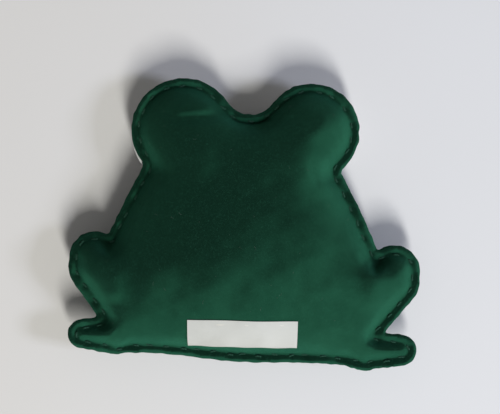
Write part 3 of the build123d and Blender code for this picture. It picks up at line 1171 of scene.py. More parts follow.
@dataclass
class FeltPanels:
    """The two green felt panels, each a skin with the felt's thickness."""

    pattern: Pattern
    back: Skin
    front: Skin
    step: float = 0.8
    ragged: float = 0.16

    def panel(self, skin: Skin, name: str, node: str, finish: "Finish") -> Piece:
        """One panel: the fine lattice lifted to the skin's height, thickened inwards.

        Args:
            skin: its outer surface.
            name: the piece's name.
            node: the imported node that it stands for.
            finish: its felt.

        Returns:
            The piece.
        """
        net = Lattice(self.pattern, self.step, ragged=self.ragged)
        points = np.column_stack([net.x, net.y, skin.height(net.x, net.y)])
        quads = net.quads if skin.face is Face.BACK else net.quads[:, ::-1]
        piece = new_mesh(name, points, quads)
        solid = piece.modifiers.new("thickness", "SOLIDIFY")
        solid.thickness = skin.felt * MM
        solid.offset = -1.0
        solid.use_even_offset = False
        return dressed(piece, finish, "green_felt", node)

    def build(self, finish: "Finish") -> list[Piece]:
        """Both panels.

        Args:
            finish: their felt.

        Returns:
            The two pieces.
        """
        return [
            self.panel(self.back, "felt_back", "back_panel", finish),
            self.panel(self.front, "felt_front", "front_panel", finish),
        ]


@dataclass
class Filling:
    """The loose filling inside, one lumpy body that reaches into every lobe."""

    pattern: Pattern
    back: Skin
    front: Skin
    step: float = 1.6
    gap: float = 0.9
    felts_in: float = 1.5
    inset: float = 7.0
    lump_middle: float = 0.6
    lump: float = 0.5
    top_lump_size: float = 10.0
    low_lump_size: float = 9.0
    least_half: float = 0.2

    def lumps(self, net: Lattice, size: float, seed: int) -> Array:
        """How far lumps draw one side in: gentle waves round a middle, never outwards."""
        return np.maximum(self.lump_middle + self.lump * waves(net.x, net.y, size, seed), 0.0)

    def build(self, finish: "Finish") -> Piece:
        """A closed body between the two panels: both skins moved in, with soft lumps.

        Args:
            finish: its fibres.

        Returns:
            The piece.
        """
        net = Lattice(self.pattern, self.step, self.inset)
        margin = self.back.felt * self.felts_in + self.gap
        top_lumps = self.lumps(net, self.top_lump_size, Seed.WADDING_TOP)
        low_lumps = self.lumps(net, self.low_lump_size, Seed.WADDING_LOW)
        top = self.back.height(net.x, net.y) - margin - top_lumps
        low = self.front.height(net.x, net.y) + margin + low_lumps
        middle = (top + low) / 2
        top = np.where(net.rim, middle, np.maximum(top, middle + self.least_half))
        low = np.where(net.rim, middle, np.minimum(low, middle - self.least_half))
        points = np.concatenate([np.column_stack([net.x, net.y, z]) for z in (top, low)])
        faces = np.concatenate([net.quads, net.quads[:, ::-1] + len(net.x)])
        piece = tidied(new_mesh("filling", points, faces))
        wads = [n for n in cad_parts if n.endswith("_stuffing")]
        return dressed(piece, finish, "stuffing", *wads)


# ------------------------------------------------------------------ thread
@dataclass
class Seam:
    """The running stitch round both panels: a stretch of thread on each face in turn."""

    pattern: Pattern
    back: Skin
    front: Skin
    pairs: int = 77
    thread: float = 0.42
    dash: float = 2.7
    stand: float = 0.75
    dive: float = 1.4
    steps: int = 13
    sides: int = 8
    uneven_along: float = 0.16
    uneven_turn: float = 0.16
    uneven_side: float = 0.3
    uneven_length: Point = (0.82, 1.12)
    look_ahead: float = 0.6
    ply: float = 0.14
    ply_pitch: float = 2.6
    line: Array = field(init=False)

    def __post_init__(self) -> None:
        """Finds the seam's line once."""
        self.line = self.pattern.path(STITCH_INSET)

    def middles(self, face: Face) -> Places:
        """Middle of each stitch on one face and the way it runs, set a little unevenly by hand.

        Args:
            face: which face.

        Returns:
            Middles and unit directions, flat.
        """
        closed, length = measured(self.line)
        draw = np.random.default_rng(Seed.SEAM + face.value)
        first = 0.5 if face is Face.BACK else 1.5
        uneven = draw.normal(0.0, self.uneven_along, self.pairs)
        wanted = (2 * np.arange(self.pairs) + first + uneven) / (2 * self.pairs)
        wanted = (wanted % 1.0) * length[-1]
        place = placed(wanted, closed, length)
        way = placed((wanted + self.look_ahead) % length[-1], closed, length) - place
        way /= np.linalg.norm(way, axis=1, keepdims=True)
        turn = draw.normal(0.0, self.uneven_turn, self.pairs)
        cos, sin = np.cos(turn), np.sin(turn)
        way = np.column_stack([way[:, 0] * cos - way[:, 1] * sin, way[:, 0] * sin + way[:, 1] * cos])
        side = np.column_stack([way[:, 1], -way[:, 0]])
        return place + side * draw.normal(0.0, self.uneven_side, (self.pairs, 1)), way

    def stitches(
        self, skin: Skin, middles: Array, ways: Array, dash: float, stand: float, seed: int
    ) -> Cords:
        """Short arched cords: each end dives into the felt, the middle lies on it.

        The height over the surface falls with the fourth power of the share of the half length.

        Args:
            skin: the surface that they lie on.
            middles: their middles.
            ways: their directions.
            dash: their length.
            stand: how far the thread's centre stands over the surface, in radii.
            seed: seed of their lengths and turns.

        Returns:
            Points, faces and pattern numbers.
        """
        draw = np.random.default_rng(seed)
        share = np.linspace(-1.0, 1.0, self.steps)
        length = dash * draw.uniform(*self.uneven_length, len(middles))
        offset = share[None, :] * length[:, None] / 2
        x = middles[:, :1] + offset * ways[:, :1]
        y = middles[:, 1:] + offset * ways[:, 1:]
        proud = self.thread * stand - (self.thread * (stand + self.dive)) * share[None, :] ** 4
        centre, normal = skin.places(x, y, np.broadcast_to(proud, x.shape))
        radius = np.full(x.shape, self.thread)
        radius[:, [0, -1]] = THREAD_END
        start = draw.uniform(0.0, math.tau, (len(middles), 1))
        return tubes(centre, normal, radius, self.sides, start + offset * self.ply_pitch, self.ply)

    def build(self, finish: "Finish") -> list[Piece]:
        """The seam's thread on each face.

        Args:
            finish: its thread.

        Returns:
            The two pieces.
        """
        made = []
        for skin in (self.back, self.front):
            side, seed = skin.face.name.lower(), Seed.SEAM_DASHES + skin.face.value
            cords = self.stitches(skin, *self.middles(skin.face), self.dash, self.stand, seed)
            piece = tidied(new_mesh(f"thread_{side}", *cords))
            made.append(dressed(piece, finish, "green_thread", f"{side}_seam_stitches"))
        return made


@dataclass
class Knot:
    """The seam's finishing knot: a cord wound round a small ring, pulled tight on the front.

    Its centre line goes round the ring three times while it winds round the ring's own round
    twice: radius plus the cosine, and height from the sine.
    """

    front: Skin
    rounds: int = 3
    winds: int = 2
    ring: float = 0.42
    wind: float = 0.3
    flatness: float = 0.8
    sunk: float = 0.45
    thread: float = 0.3
    points: int = 100
    sides: int = 8
    ply: float = 0.12
    ply_pitch: float = 1.2

    def build(self, finish: "Finish") -> Piece:
        """The knot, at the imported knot's place.

        Args:
            finish: its thread.

        Returns:
            The piece.
        """
        low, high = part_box("seam_knot")
        middle_x, middle_y = ((low[k] + high[k]) / 2 / MM for k in range(2))
        level = float(self.front.height(np.array([middle_x]), np.array([middle_y]))[0]) - self.sunk
        turn = np.linspace(0.0, math.tau * self.rounds, self.points)
        winding = turn * self.winds / self.rounds
        out = self.ring + self.wind * np.cos(winding)
        x, y = middle_x + out * np.cos(turn), middle_y + out * np.sin(turn)
        line = np.column_stack([x, y, level + self.flatness * self.wind * np.sin(winding)])[None]
        up = np.broadcast_to(np.array([0.0, 0.0, 1.0]), line.shape)
        radius = np.full(line.shape[:2], self.thread)
        radius[:, [0, -1]] = THREAD_END
        cords = tubes(line, up, radius, self.sides, turn[None] * self.ply_pitch, self.ply)
        piece = tidied(new_mesh("thread_knot", *cords))
        return dressed(piece, finish, "green_thread", "seam_knot")


# ------------------------------------------------------------------ the face, on the front
@dataclass
class Features:
    """Felt eyes, mouth and nostrils, sewn to the front panel."""

    seam: Seam
    front: Skin
    whites: tuple[Patch, Patch] = (Patch(-31.6, 38.4, 22.3), Patch(27.3, 42.1, 20.5))
    pupils: tuple[Patch, Patch] = (Patch(-27.6, 38.4, 8.0), Patch(23.3, 42.1, 8.0))
    thick: float = 1.1
    white_gap: float = 0.03
    pupil_gap: float = 1.15
    rings: int = 22
    flat_share: float = 0.975
    rim_shares: tuple[float, ...] = (0.992, 1.0, 1.0, 0.992)
    rim_levels: tuple[float, ...] = (0.06, 0.28, 0.72, 0.94)
    disc_sides: int = 120
    cut_waves: tuple[tuple[float, int], ...] = ((0.008, 3), (0.005, 7))
    off_floor: float = 0.02
    off_floor_inner: float = 0.01
    mouth_half_width: float = 23.0
    mouth_y: float = 2.0
    mouth_lift: float = 9.0
    mouth_stitches: int = 13
    mouth_dash: float = 3.0
    nostril_x: float = 4.5
    nostril_y: float = 16.0
    pupil_stitches: int = 8
    pupil_stitch_r: float = 6.6
    pupil_dash: float = 2.4
    stand: float = 0.5

    def felt_disc(self, name: str, disc: Patch, inner: float) -> Piece:
        """A round felt patch that follows the front panel.

        Its section runs from the middle of the inner face to a rounded rim and back to the middle
        of the outer face, and is carried round the disc, whose edge waves a little.

        Args:
            name: the piece's name.
            disc: where it is.
            inner: gap between the panel and its inner face.

        Returns:
            The piece, not yet dressed.
        """
        outwards = np.linspace(0.0, self.flat_share, self.rings)
        inwards = np.linspace(self.flat_share, 0.0, self.rings)
        share = np.concatenate([outwards, self.rim_shares, inwards])
        level = np.concatenate([np.zeros(self.rings), self.rim_levels, np.ones(self.rings)])[:, None]
        turn = np.arange(self.disc_sides) * math.tau / self.disc_sides
        (large, few), (small, many) = self.cut_waves
        wobble = 1.0 + large * np.sin(few * turn + disc.x) + small * np.sin(many * turn)
        r = disc.r * share[:, None] * wobble[None, :]
        x, y = disc.x + r * np.cos(turn), disc.y + r * np.sin(turn)
        z = self.front.height(x, y) - (inner + self.thick * level)
        z = np.maximum(z, self.off_floor + self.off_floor_inner * (1.0 - level))
        faces = grid_faces(len(share), len(turn), wrap_columns=True)
        return tidied(new_mesh(name, np.stack([x, y, z], -1).reshape(-1, 3), faces))

    def mouth_places(self) -> Places:
        """Middles and directions of the mouth's stitches, along a parabola."""
        share = (np.arange(self.mouth_stitches) + 0.5) / self.mouth_stitches * 2 - 1
        x = share * self.mouth_half_width
        y = self.mouth_y + self.mouth_lift * share**2
        slope = 2 * self.mouth_lift * share / self.mouth_half_width
        way = np.column_stack([np.ones_like(x), slope])
        way /= np.linalg.norm(way, axis=1, keepdims=True)
        return np.column_stack([x, y]), way

    def nostril_places(self) -> Places:
        """Middles and directions of the two nostril stitches, which lean towards each other."""
        half = math.sqrt(0.5)
        middles = [[-self.nostril_x, self.nostril_y], [self.nostril_x, self.nostril_y]]
        return np.array(middles), np.array([[-half, half], [half, half]])

    def ring_places(self, disc: Patch) -> Places:
        """Middles and directions of the stitches just inside one pupil's edge.

        Args:
            disc: the pupil.

        Returns:
            Middles and unit directions, flat.
        """
        turn = np.arange(self.pupil_stitches) * math.tau / self.pupil_stitches
        x, y = self.pupil_stitch_r * np.cos(turn), self.pupil_stitch_r * np.sin(turn)
        return np.column_stack([disc.x + x, disc.y + y]), np.column_stack([-np.sin(turn), np.cos(turn)])

    def sewn(self, name: str, places: Places, dash: float, under: float = 0.0) -> Piece:
        """One group of the face's stitches.

        Args:
            name: the piece's name.
            places: middles and directions.
            dash: length of a stitch.
            under: how far below the panel's surface the felt that they lie on is.

        Returns:
            The piece, not yet dressed.
        """
        points, faces, uv = self.seam.stitches(self.front, *places, dash, self.stand, Seed.FACE_DASHES)
        points[:, 2] = np.maximum(points[:, 2] - under, self.off_floor_inner)
        return tidied(new_mesh(name, points, faces, uv))

    def build(self, white: "Finish", black: "Finish", thread: "Finish") -> list[Piece]:
        """Every piece of the face.

        Args:
            white: felt of the eyes.
            black: felt of the pupils.
            thread: thread of every stitch.

        Returns:
            The pieces.
        """
        made = []
        for side, disc, pupil in zip(("left", "right"), self.whites, self.pupils):
            eye = self.felt_disc(f"eye_white_{side}", disc, self.white_gap)
            made.append(dressed(eye, white, "white_felt", f"{side}_eye_white"))
            middle = self.felt_disc(f"pupil_{side}", pupil, self.pupil_gap)
            made.append(dressed(middle, black, "black_felt", f"{side}_pupil"))
            ring = self.ring_places(pupil)
            sewn = self.sewn(f"pupil_thread_{side}", ring, self.pupil_dash, 2 * self.thick)
            made.append(dressed(sewn, thread, "black_thread", f"{side}_pupil_stitches"))
        for name, places in (("mouth", self.mouth_places()), ("nostril", self.nostril_places())):
            sewn = self.sewn(f"{name}_thread", places, self.mouth_dash)
            made.append(dressed(sewn, thread, "black_thread", f"{name}_stitches"))
        return made


# ------------------------------------------------------------------ the paper label
@dataclass(frozen=True)
class Buckle:
    """A place along the label where its lower edge stands up, how high and how wide."""

    across: float
    height: float
    width: float


@dataclass
class Label:
    """A plain strip of paper, glued along its top edge, whose lower edge lifts here and there."""

    back: Skin
    width: float = 48.6
    tall: float = 12.5
    turn: float = 1.7
    x: float = 0.3
    y: float = -43.1
    paper: float = 0.25
    columns: int = 97
    rows: int = 27
    glue: float = 0.3
    buckles: tuple[Buckle, ...] = (
        Buckle(-7.0, 1.5, 4.4),
        Buckle(9.3, 1.3, 4.8),
        Buckle(-23.5, 0.5, 3.0),
        Buckle(24.0, 0.35, 3.0),
    )
    buckle_power: float = 2.2
    ripple: float = 0.12
    ripple_size: float = 3.1
    low_cut: tuple[float, float] = (0.16, 2.3)
    top_cut: tuple[float, float] = (0.1, 5.1)
    stiff_over: tuple[float, ...] = (-3.0, -1.5, 0.0, 1.5, 3.0)
    merge: float = 0.0005
    sharp: float = 50.0

    def flat(self, across: Array, down: Array) -> Places:
        """Flat place of a point of the label, measured from the middle of its top edge."""
        cos, sin = math.cos(math.radians(self.turn)), math.sin(math.radians(self.turn))
        return self.x + across * cos + down * sin, self.y + across * sin - down * cos

    def resting(self, x: Array, y: Array) -> Array:
        """Height that stiff paper rests at: the felt's, or its mean along the label if that is more."""
        stiff = np.mean([self.back.height(x + dx, y) for dx in self.stiff_over], axis=0)
        return np.maximum(stiff, self.back.height(x, y))

    def lift(self, across: Array, down: Array) -> Array:
        """How far the paper stands off the felt: soft bells that grow towards the lower edge.

        Args:
            across: distance to the right of the label's middle.
            down: distance below its top edge.

        Returns:
            The gap at each point.
        """
        share = down / self.tall
        stood = sum(b.height * bump(across - b.across, b.width) for b in self.buckles)
        ripple = self.ripple * share * (1 + np.sin(across / self.ripple_size))
        return self.glue + stood * share**self.buckle_power + ripple

    def build(self, finish: "Finish") -> Piece:
        """The label: a grid across and down, smoothed over the felt's small dents, with a thickness.

        Its long edges are cut a little unevenly: a sine along each.

        Args:
            finish: its paper.

        Returns:
            The piece.
        """
        across = np.linspace(-self.width / 2, self.width / 2, self.columns)
        down = np.linspace(0.0, self.tall, self.rows)
        a, d = np.meshgrid(across, down)
        cut = np.zeros(a.shape)
        cut[-1] = self.low_cut[0] * np.sin(across / self.low_cut[1] + 1.0)
        cut[0] = self.top_cut[0] * np.sin(across / self.top_cut[1])
        x, y = self.flat(a, d + cut)
        under = self.resting(x, y) + self.lift(a, d)
        both_sides = [np.stack([x, y, z], -1).reshape(-1, 3) for z in (under + self.paper, under)]
        sheet = grid_faces(self.rows, self.columns)
        count = self.rows * self.columns
        number = np.arange(count).reshape(self.rows, self.columns)
        rim = np.concatenate([number[0, :-1], number[:-1, -1], number[-1, :0:-1], number[:0:-1, 0]])
        wall = np.column_stack([rim, np.roll(rim, -1), np.roll(rim, -1) + count, rim + count])
        faces = np.concatenate([sheet, sheet[:, ::-1] + count, wall])
        uv = np.stack([a / self.width + 0.5, d / self.tall], -1).reshape(-1, 2)
        piece = new_mesh("label_strip", np.concatenate(both_sides), faces, np.tile(uv, (2, 1)))
        piece = tidied(piece, self.merge)
        split = piece.modifiers.new("split", "EDGE_SPLIT")
        split.split_angle = math.radians(self.sharp)
        piece.data.materials.append(finish.material())
        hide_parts("paper_label")
        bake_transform(piece)
        return piece


@dataclass
class Glue:
    """The line of dry glue under the label's top edge."""

    label: Label
    tall: float = 1.6
    from_edge: float = 0.35
    from_ends: float = 0.6
    clear: float = 0.02
    uneven: tuple[tuple[float, float], ...] = ((0.2, 2.1), (0.1, 0.9))
    end_share: float = 0.999
    end_power: int = 8
    columns: int = 97
    sides: int = 10

    def build(self, finish: "Finish") -> Piece:
        """A flat bead: an ellipse swept along the label's top edge, a little uneven in width.

        It closes at both ends with the square root of 1 less the eighth power of the share.

        Args:
            finish: its glue.

        Returns:
            The piece.
        """
        half = self.label.width / 2 - self.from_ends
        across = np.linspace(-half, half, self.columns)
        turn = np.arange(self.sides) * math.tau / self.sides
        swell = 1.0 + sum(height * np.sin(across / size) for height, size in self.uneven)
        share = np.linspace(-self.end_share, self.end_share, self.columns)
        swell = swell * np.sqrt(1.0 - share**self.end_power)
        down = self.from_edge + self.tall / 2 * (1.0 + swell[:, None] * np.cos(turn)[None, :])
        x, y = self.label.flat(across[:, None], down)
        middle = self.label.flat(across, np.full_like(across, self.from_edge + self.tall / 2))
        level = self.label.resting(*middle)[:, None] + self.label.glue / 2
        z = level + (self.label.glue / 2 - self.clear) * swell[:, None] * np.sin(turn)[None, :]
        faces = grid_faces(self.columns, self.sides, wrap_columns=True)
        piece = tidied(new_mesh("glue_line", np.stack([x, y, z], -1).reshape(-1, 3), faces))
        return dressed(piece, finish, "dry_glue", "label_glue")


# ------------------------------------------------------------------ lint
@dataclass
class Lint:
    """Loose short fibres and specks caught on the felt."""

    skin: Skin
    count: int = 46
    tries: int = 5
    half: Point = (66.0, 58.0)
    inset: float = 6.0
    length: Point = (0.5, 1.8)
    thread: Point = (0.02, 0.04)
    curve: float = 0.16
    low: float = 0.05
    arch: float = 0.1
    steps: int = 9
    sides: int = 4

    def build(self, finish: "Finish") -> Piece:
        """Fine curved cords that lie on the back: each bends as a cosine along its length.

        Args:
            finish: their fibres.

        Returns:
            The piece.
        """
        draw = np.random.default_rng(Seed.LINT)
        x, y = (draw.uniform(-half, half, self.tries * self.count) for half in self.half)
        keep = np.nonzero(self.skin.pattern.distance(x, y) < -self.inset)[0][: self.count]
        x, y = x[keep, None], y[keep, None]
        n = len(keep)
        way = draw.uniform(0.0, math.tau, (n, 1))
        length = draw.uniform(*self.length, (n, 1))
        share = np.linspace(-0.5, 0.5, self.steps)[None, :]
        arch = np.cos(math.pi * share)
        bend = draw.normal(0.0, self.curve, (n, 1)) * length * arch
        px = x + share * length * np.cos(way) - bend * np.sin(way)
        py = y + share * length * np.sin(way) + bend * np.cos(way)
        even = np.ones_like(px)
        centre, normal = self.skin.places(px, py, (self.low + self.arch * arch) * even)
        radius = draw.uniform(*self.thread, (n, 1)) * even
        cords = tubes(centre, normal, radius, self.sides, np.zeros_like(px), 0.0)
        return dressed(new_mesh("lint", *cords), finish, "stuffing")


# ------------------------------------------------------------------ node groups that finishes share
def group_sockets(group: NodeTree, inputs: dict[str, object], outputs: dict[str, str]) -> None:
    """Gives a shader group its named inputs, with starting values, and outputs.

    Args:
        group: the group.
        inputs: name to starting value: a number, or a colour of four numbers.
        outputs: name to socket type.
    """
    for name, value in inputs.items():
        kind = "NodeSocketFloat" if isinstance(value, float) else "NodeSocketColor"
        socket = group.interface.new_socket(name=name, in_out="INPUT", socket_type=kind)
        socket.default_value = value
    for name, kind in outputs.items():
        group.interface.new_socket(name=name, in_out="OUTPUT", socket_type=kind)


@dataclass
class Tree:
    """A thin wrapper that adds and joins shader nodes."""

    tree: NodeTree

    def add(self, kind: str, **values: object) -> Node:
        """A new node with its properties set.

        Args:
            kind: its type.
            values: its properties by name.

        Returns:
            The node.
        """
        node = self.tree.nodes.new(kind)
        for name, value in values.items():
            setattr(node, name, value)
        return node

    def feed(self, node: Node, values: dict[str | int, object]) -> Node:
        """Feeds a node's inputs, by name or number: an output is joined, a value is set.

        Args:
            node: the node.
            values: another node's output, or a plain value, for each input.

        Returns:
            The same node.
        """
        for name, value in values.items():
            if isinstance(value, Socket):
                self.tree.links.new(value, node.inputs[name])
            else:
                node.inputs[name].default_value = value
        return node

    def place(self) -> Socket:
        """The place of each point in its piece."""
        return self.add("ShaderNodeTexCoord").outputs["Object"]

    def noise(
        self, place: Socket, scale: float, detail: float, rough: float, twist: float = 0.0
    ) -> Socket:
        """A noise texture's value at a place.

        Args:
            place: the place.
            scale: how many features a metre holds, roughly.
            detail: how many finer layers are added.
            rough: how strong the finer layers are.
            twist: how much the place is distorted.

        Returns:
            The value, from 0 to 1.
        """
        node = self.add("ShaderNodeTexNoise")
        values = {"Scale": scale, "Detail": detail, "Roughness": rough, "Distortion": twist}
        return self.feed(node, values | {"Vector": place}).outputs["Fac"]

    def math(self, operation: str, one: object, two: object) -> Socket:
        """A maths node on two values, each a socket or a number."""
        return self.feed(self.add("ShaderNodeMath", operation=operation), {0: one, 1: two}).outputs[0]

    def summed(self, one: Socket, one_weight: float, two: Socket, two_weight: float) -> Socket:
        """Two values, each times its weight, added."""
        first = self.math("MULTIPLY", one, one_weight)
        return self.math("ADD", first, self.math("MULTIPLY", two, two_weight))

    def spread(self, value: Socket, low: float, high: float, to: Point = (0.0, 1.0)) -> Socket:
        """A value carried smoothly from one range to another.

        Args:
            value: the value.
            low: where its range begins.
            high: where it ends.
            to: the two ends of the new range.

        Returns:
            The new value.
        """
        node = self.add("ShaderNodeMapRange", interpolation_type="SMOOTHSTEP")
        values = {"From Min": low, "From Max": high, "To Min": to[0], "To Max": to[1]}
        return self.feed(node, values | {"Value": value}).outputs["Result"]

    def mix(self, share: object, one: object, two: object, blend: str = "MIX") -> Socket:
        """Two colours mixed by a share."""
        node = self.add("ShaderNodeMix", data_type="RGBA", blend_type=blend)
        return self.feed(node, {0: share, 6: one, 7: two}).outputs[2]

    def bump(self, height: Socket, strength: float, distance: float) -> Socket:
        """The normal that a height gives; the distance is in millimetres.

        Args:
            height: the height, from 0 to 1.
            strength: the bump's strength.
            distance: the bump's depth in millimetres.

        Returns:
            The normal.
        """
        node = self.add("ShaderNodeBump")
        values = {"Strength": strength, "Distance": distance * MM, "Height": height}
        return self.feed(node, values).outputs["Normal"]


def opaque(colour: Colour) -> tuple[float, float, float, float]:
    """A colour with nothing see-through."""
    return (*colour, 1.0)


# Painted shade: slopes whose normal leans along this way, away from the lamps, are painted in a darker
# colour; the start and end set how fast it comes in, and the cloud makes its edge uneven.
SHADED_SLOPE_WAY = (-0.62, 0.785, 0.0)
SHADED_SLOPE_START = -0.24
SHADED_SLOPE_END = 0.14
SHADED_SLOPE_CLOUD = 0.12


def felt_group() -> NodeTree:
    """The look that every felt shares: matted fibres, cloudy dye, and painted shade on slopes that face
    away from the lamps.

    Fibres are two fine noises, both much twisted, added together, and their low places are painted
    darker as painted shade. The dye is a large soft noise and a medium one. The painted slope shade's
    mask is the dot product of the surface's normal and a fixed way that points away from the lamps, so
    that slopes facing that way are painted darker.

    Returns:
        The group, which puts out a colour, a roughness and a height.
    """
    known = bpy.data.node_groups.get("matted_felt")
    if known:
        return known
    group = bpy.data.node_groups.new("matted_felt", "ShaderNodeTree")
    inputs = {
        "Dye": (0.02, 0.1, 0.05, 1.0),
        "Deep dye": (0.01, 0.06, 0.03, 1.0),
        "Fibre": (0.05, 0.2, 0.12, 1.0),
        # the darker colour painted on slopes that face away from the lamps, as painted shade
        "Painted slope shade": (0.01, 0.04, 0.02, 1.0),
        "Cloudiness": 0.5,
        "Fibre share": 0.3,
    }
    outputs = {"Colour": "NodeSocketColor", "Roughness": "NodeSocketFloat", "Height": "NodeSocketFloat"}
    group_sockets(group, inputs, outputs)
    t = Tree(group)
    given, out = t.add("NodeGroupInput").outputs, t.add("NodeGroupOutput")
    place = t.place()
    fine = t.noise(place, scale=1900.0, detail=4.0, rough=0.6, twist=3.0)
    coarse = t.noise(place, scale=520.0, detail=5.0, rough=0.7, twist=2.2)
    mat = t.summed(fine, 0.55, coarse, 0.45)
    large = t.noise(place, scale=34.0, detail=3.0, rough=0.5)
    medium = t.noise(place, scale=140.0, detail=4.0, rough=0.6)
    cloud = t.summed(large, 0.6, medium, 0.4)
    dye_share = t.math("MULTIPLY", t.spread(cloud, 0.32, 0.68), given["Cloudiness"])
    lean = t.add("ShaderNodeVectorMath", operation="DOT_PRODUCT")
    t.feed(lean, {0: t.add("ShaderNodeNewGeometry").outputs["Normal"], 1: SHADED_SLOPE_WAY})
    unevenness = t.math("MULTIPLY", t.math("SUBTRACT", cloud, 0.5), SHADED_SLOPE_CLOUD)
    # painted shade on slopes facing away from the lamps, its edge made uneven by the dye's clouds
    along = t.spread(t.math("ADD", lean.outputs["Value"], unevenness), SHADED_SLOPE_START, SHADED_SLOPE_END)
    dyed = t.mix(dye_share, given["Dye"], given["Deep dye"])
    dyed = t.mix(along, dyed, given["Painted slope shade"])
    stray = t.math("MULTIPLY", t.spread(mat, 0.5, 0.72), given["Fibre share"])
    coloured = t.mix(stray, dyed, given["Fibre"])
    # Painted shade: the low places of the fibres' height are painted up to 28 % darker.
    pit_shade = t.spread(mat, 0.28, 0.46, to=(0.72, 1.0))
    shade = t.feed(t.add("ShaderNodeCombineColor"), {0: pit_shade, 1: pit_shade, 2: pit_shade}).outputs[0]
    colour = t.mix(1.0, coloured, shade, "MULTIPLY")
    roughness = t.spread(mat, 0.3, 0.7, to=(1.0, 0.86))
    t.feed(out, {"Colour": colour, "Roughness": roughness, "Height": mat})
    return group


def yarn_group() -> NodeTree:
    """The look of twisted thread: slanting plies and loose hairs, from the piece's own map, with
    painted shade in the grooves between the plies.

    The ply is a cosine of the turn round the thread less the twist along it; where the height is low
    the colour goes towards the darker groove colour.

    Returns:
        The group, which puts out a colour and a height.
    """
    known = bpy.data.node_groups.get("twisted_yarn")
    if known:
        return known
    group = bpy.data.node_groups.new("twisted_yarn", "ShaderNodeTree")
    # the groove colour is painted shade between the plies
    inputs = {"Dye": (0.05, 0.2, 0.1, 1.0), "Groove": (0.01, 0.05, 0.03, 1.0)}
    group_sockets(group, inputs, {"Colour": "NodeSocketColor", "Height": "NodeSocketFloat"})
    t = Tree(group)
    given, out = t.add("NodeGroupInput").outputs, t.add("NodeGroupOutput")
    coords = t.add("ShaderNodeTexCoord").outputs
    split = t.feed(t.add("ShaderNodeSeparateXYZ"), {0: coords["UV"]}).outputs
    slant = t.math("SUBTRACT", split["Y"], split["X"])
    ply = t.math("COSINE", t.math("MULTIPLY", slant, 2 * math.tau), 0.0)
    hairs = t.noise(coords["Object"], scale=4200.0, detail=3.0, rough=0.6, twist=1.0)
    height = t.summed(ply, 0.35, hairs, 0.6)
    # painted shade: low places of the ply height take the darker groove colour
    colour = t.mix(t.spread(height, -0.2, 0.6), given["Groove"], given["Dye"])
    t.feed(out, {"Colour": colour, "Height": height})
    return group


# ------------------------------------------------------------------ finishes
@dataclass(frozen=True)
class Finish:
    """A material that is built once, under its own name."""

    name: str

    def material(self) -> bpy.types.Material:
        """The material, painted when it is first asked for.

        Returns:
            The material.
        """
        known = bpy.data.materials.get(self.name)
        if known:
            return known
        made = bpy.data.materials.new(self.name)
        made.use_nodes = True
        t = Tree(made.node_tree)
        t.feed(t.tree.nodes["Principled BSDF"], self.surface(t))
        return made

    def surface(self, t: Tree) -> dict[str, object]:
        """What the Principled shader's inputs are fed, by name."""
        raise NotImplementedError


@dataclass(frozen=True)
class FeltFinish(Finish):
    """Craft felt of one colour."""

    dye: Colour
    deep: Colour
    fibre: Colour
    # painted shade colour for slopes that face away from the lamps
    painted_slope_shade: Colour
    cloudiness: float = 0.85
    fibre_share: float = 0.5
    sheen: float = 0.6
    sheen_tint: Colour = (0.06, 0.34, 0.20)

    def surface(self, t: Tree) -> dict[str, object]:
        """Matted felt from the shared group, with a soft sheen and almost no gloss.

        Args:
            t: the material's nodes.

        Returns:
            What the shader's inputs are fed.
        """
        group = t.add("ShaderNodeGroup", node_tree=felt_group())
        dyes = {
            "Dye": opaque(self.dye),
            "Deep dye": opaque(self.deep),
            "Fibre": opaque(self.fibre),
            "Painted slope shade": opaque(self.painted_slope_shade),
            "Cloudiness": self.cloudiness,
            "Fibre share": self.fibre_share,
        }
        felt = t.feed(group, dyes).outputs
        return {
            "Base Color": felt["Colour"],
            "Roughness": felt["Roughness"],
            "Normal": t.bump(felt["Height"], strength=0.7, distance=0.5),
            "Specular IOR Level": 0.04,
            "Sheen Weight": self.sheen,
            "Sheen Roughness": 0.6,
            "Sheen Tint": opaque(self.sheen_tint),
        }


@dataclass(frozen=True)
class ThreadFinish(Finish):
    """Twisted sewing thread of one colour."""

    dye: Colour
    # darker colour painted into the grooves between plies, as painted shade
    groove: Colour

    def surface(self, t: Tree) -> dict[str, object]:
        """Twisted yarn from the shared group, dull and hardly furry.

        Args:
            t: the material's nodes.

        Returns:
            What the shader's inputs are fed.
        """
        group = t.add("ShaderNodeGroup", node_tree=yarn_group())
        yarn = t.feed(group, {"Dye": opaque(self.dye), "Groove": opaque(self.groove)}).outputs
        return {
            "Base Color": yarn["Colour"],
            "Normal": t.bump(yarn["Height"], strength=0.6, distance=0.1),
            "Roughness": 0.8,
            "Specular IOR Level": 0.15,
            "Sheen Weight": 0.05,
        }


@dataclass(frozen=True)
class WaddingFinish(Finish):
    """Loose polyester fibres."""

    colour: Colour
    shade: Colour

    def surface(self, t: Tree) -> dict[str, object]:
        """Wisps: one much twisted noise between two colours.

        Args:
            t: the material's nodes.

        Returns:
            What the shader's inputs are fed.
        """
        wisps = t.noise(t.place(), scale=420.0, detail=6.0, rough=0.7, twist=4.0)
        return {
            "Base Color": t.mix(t.spread(wisps, 0.35, 0.65), opaque(self.shade), opaque(self.colour)),
            "Normal": t.bump(wisps, strength=0.5, distance=0.6),
            "Roughness": 0.9,
            "Sheen Weight": 0.3,
        }


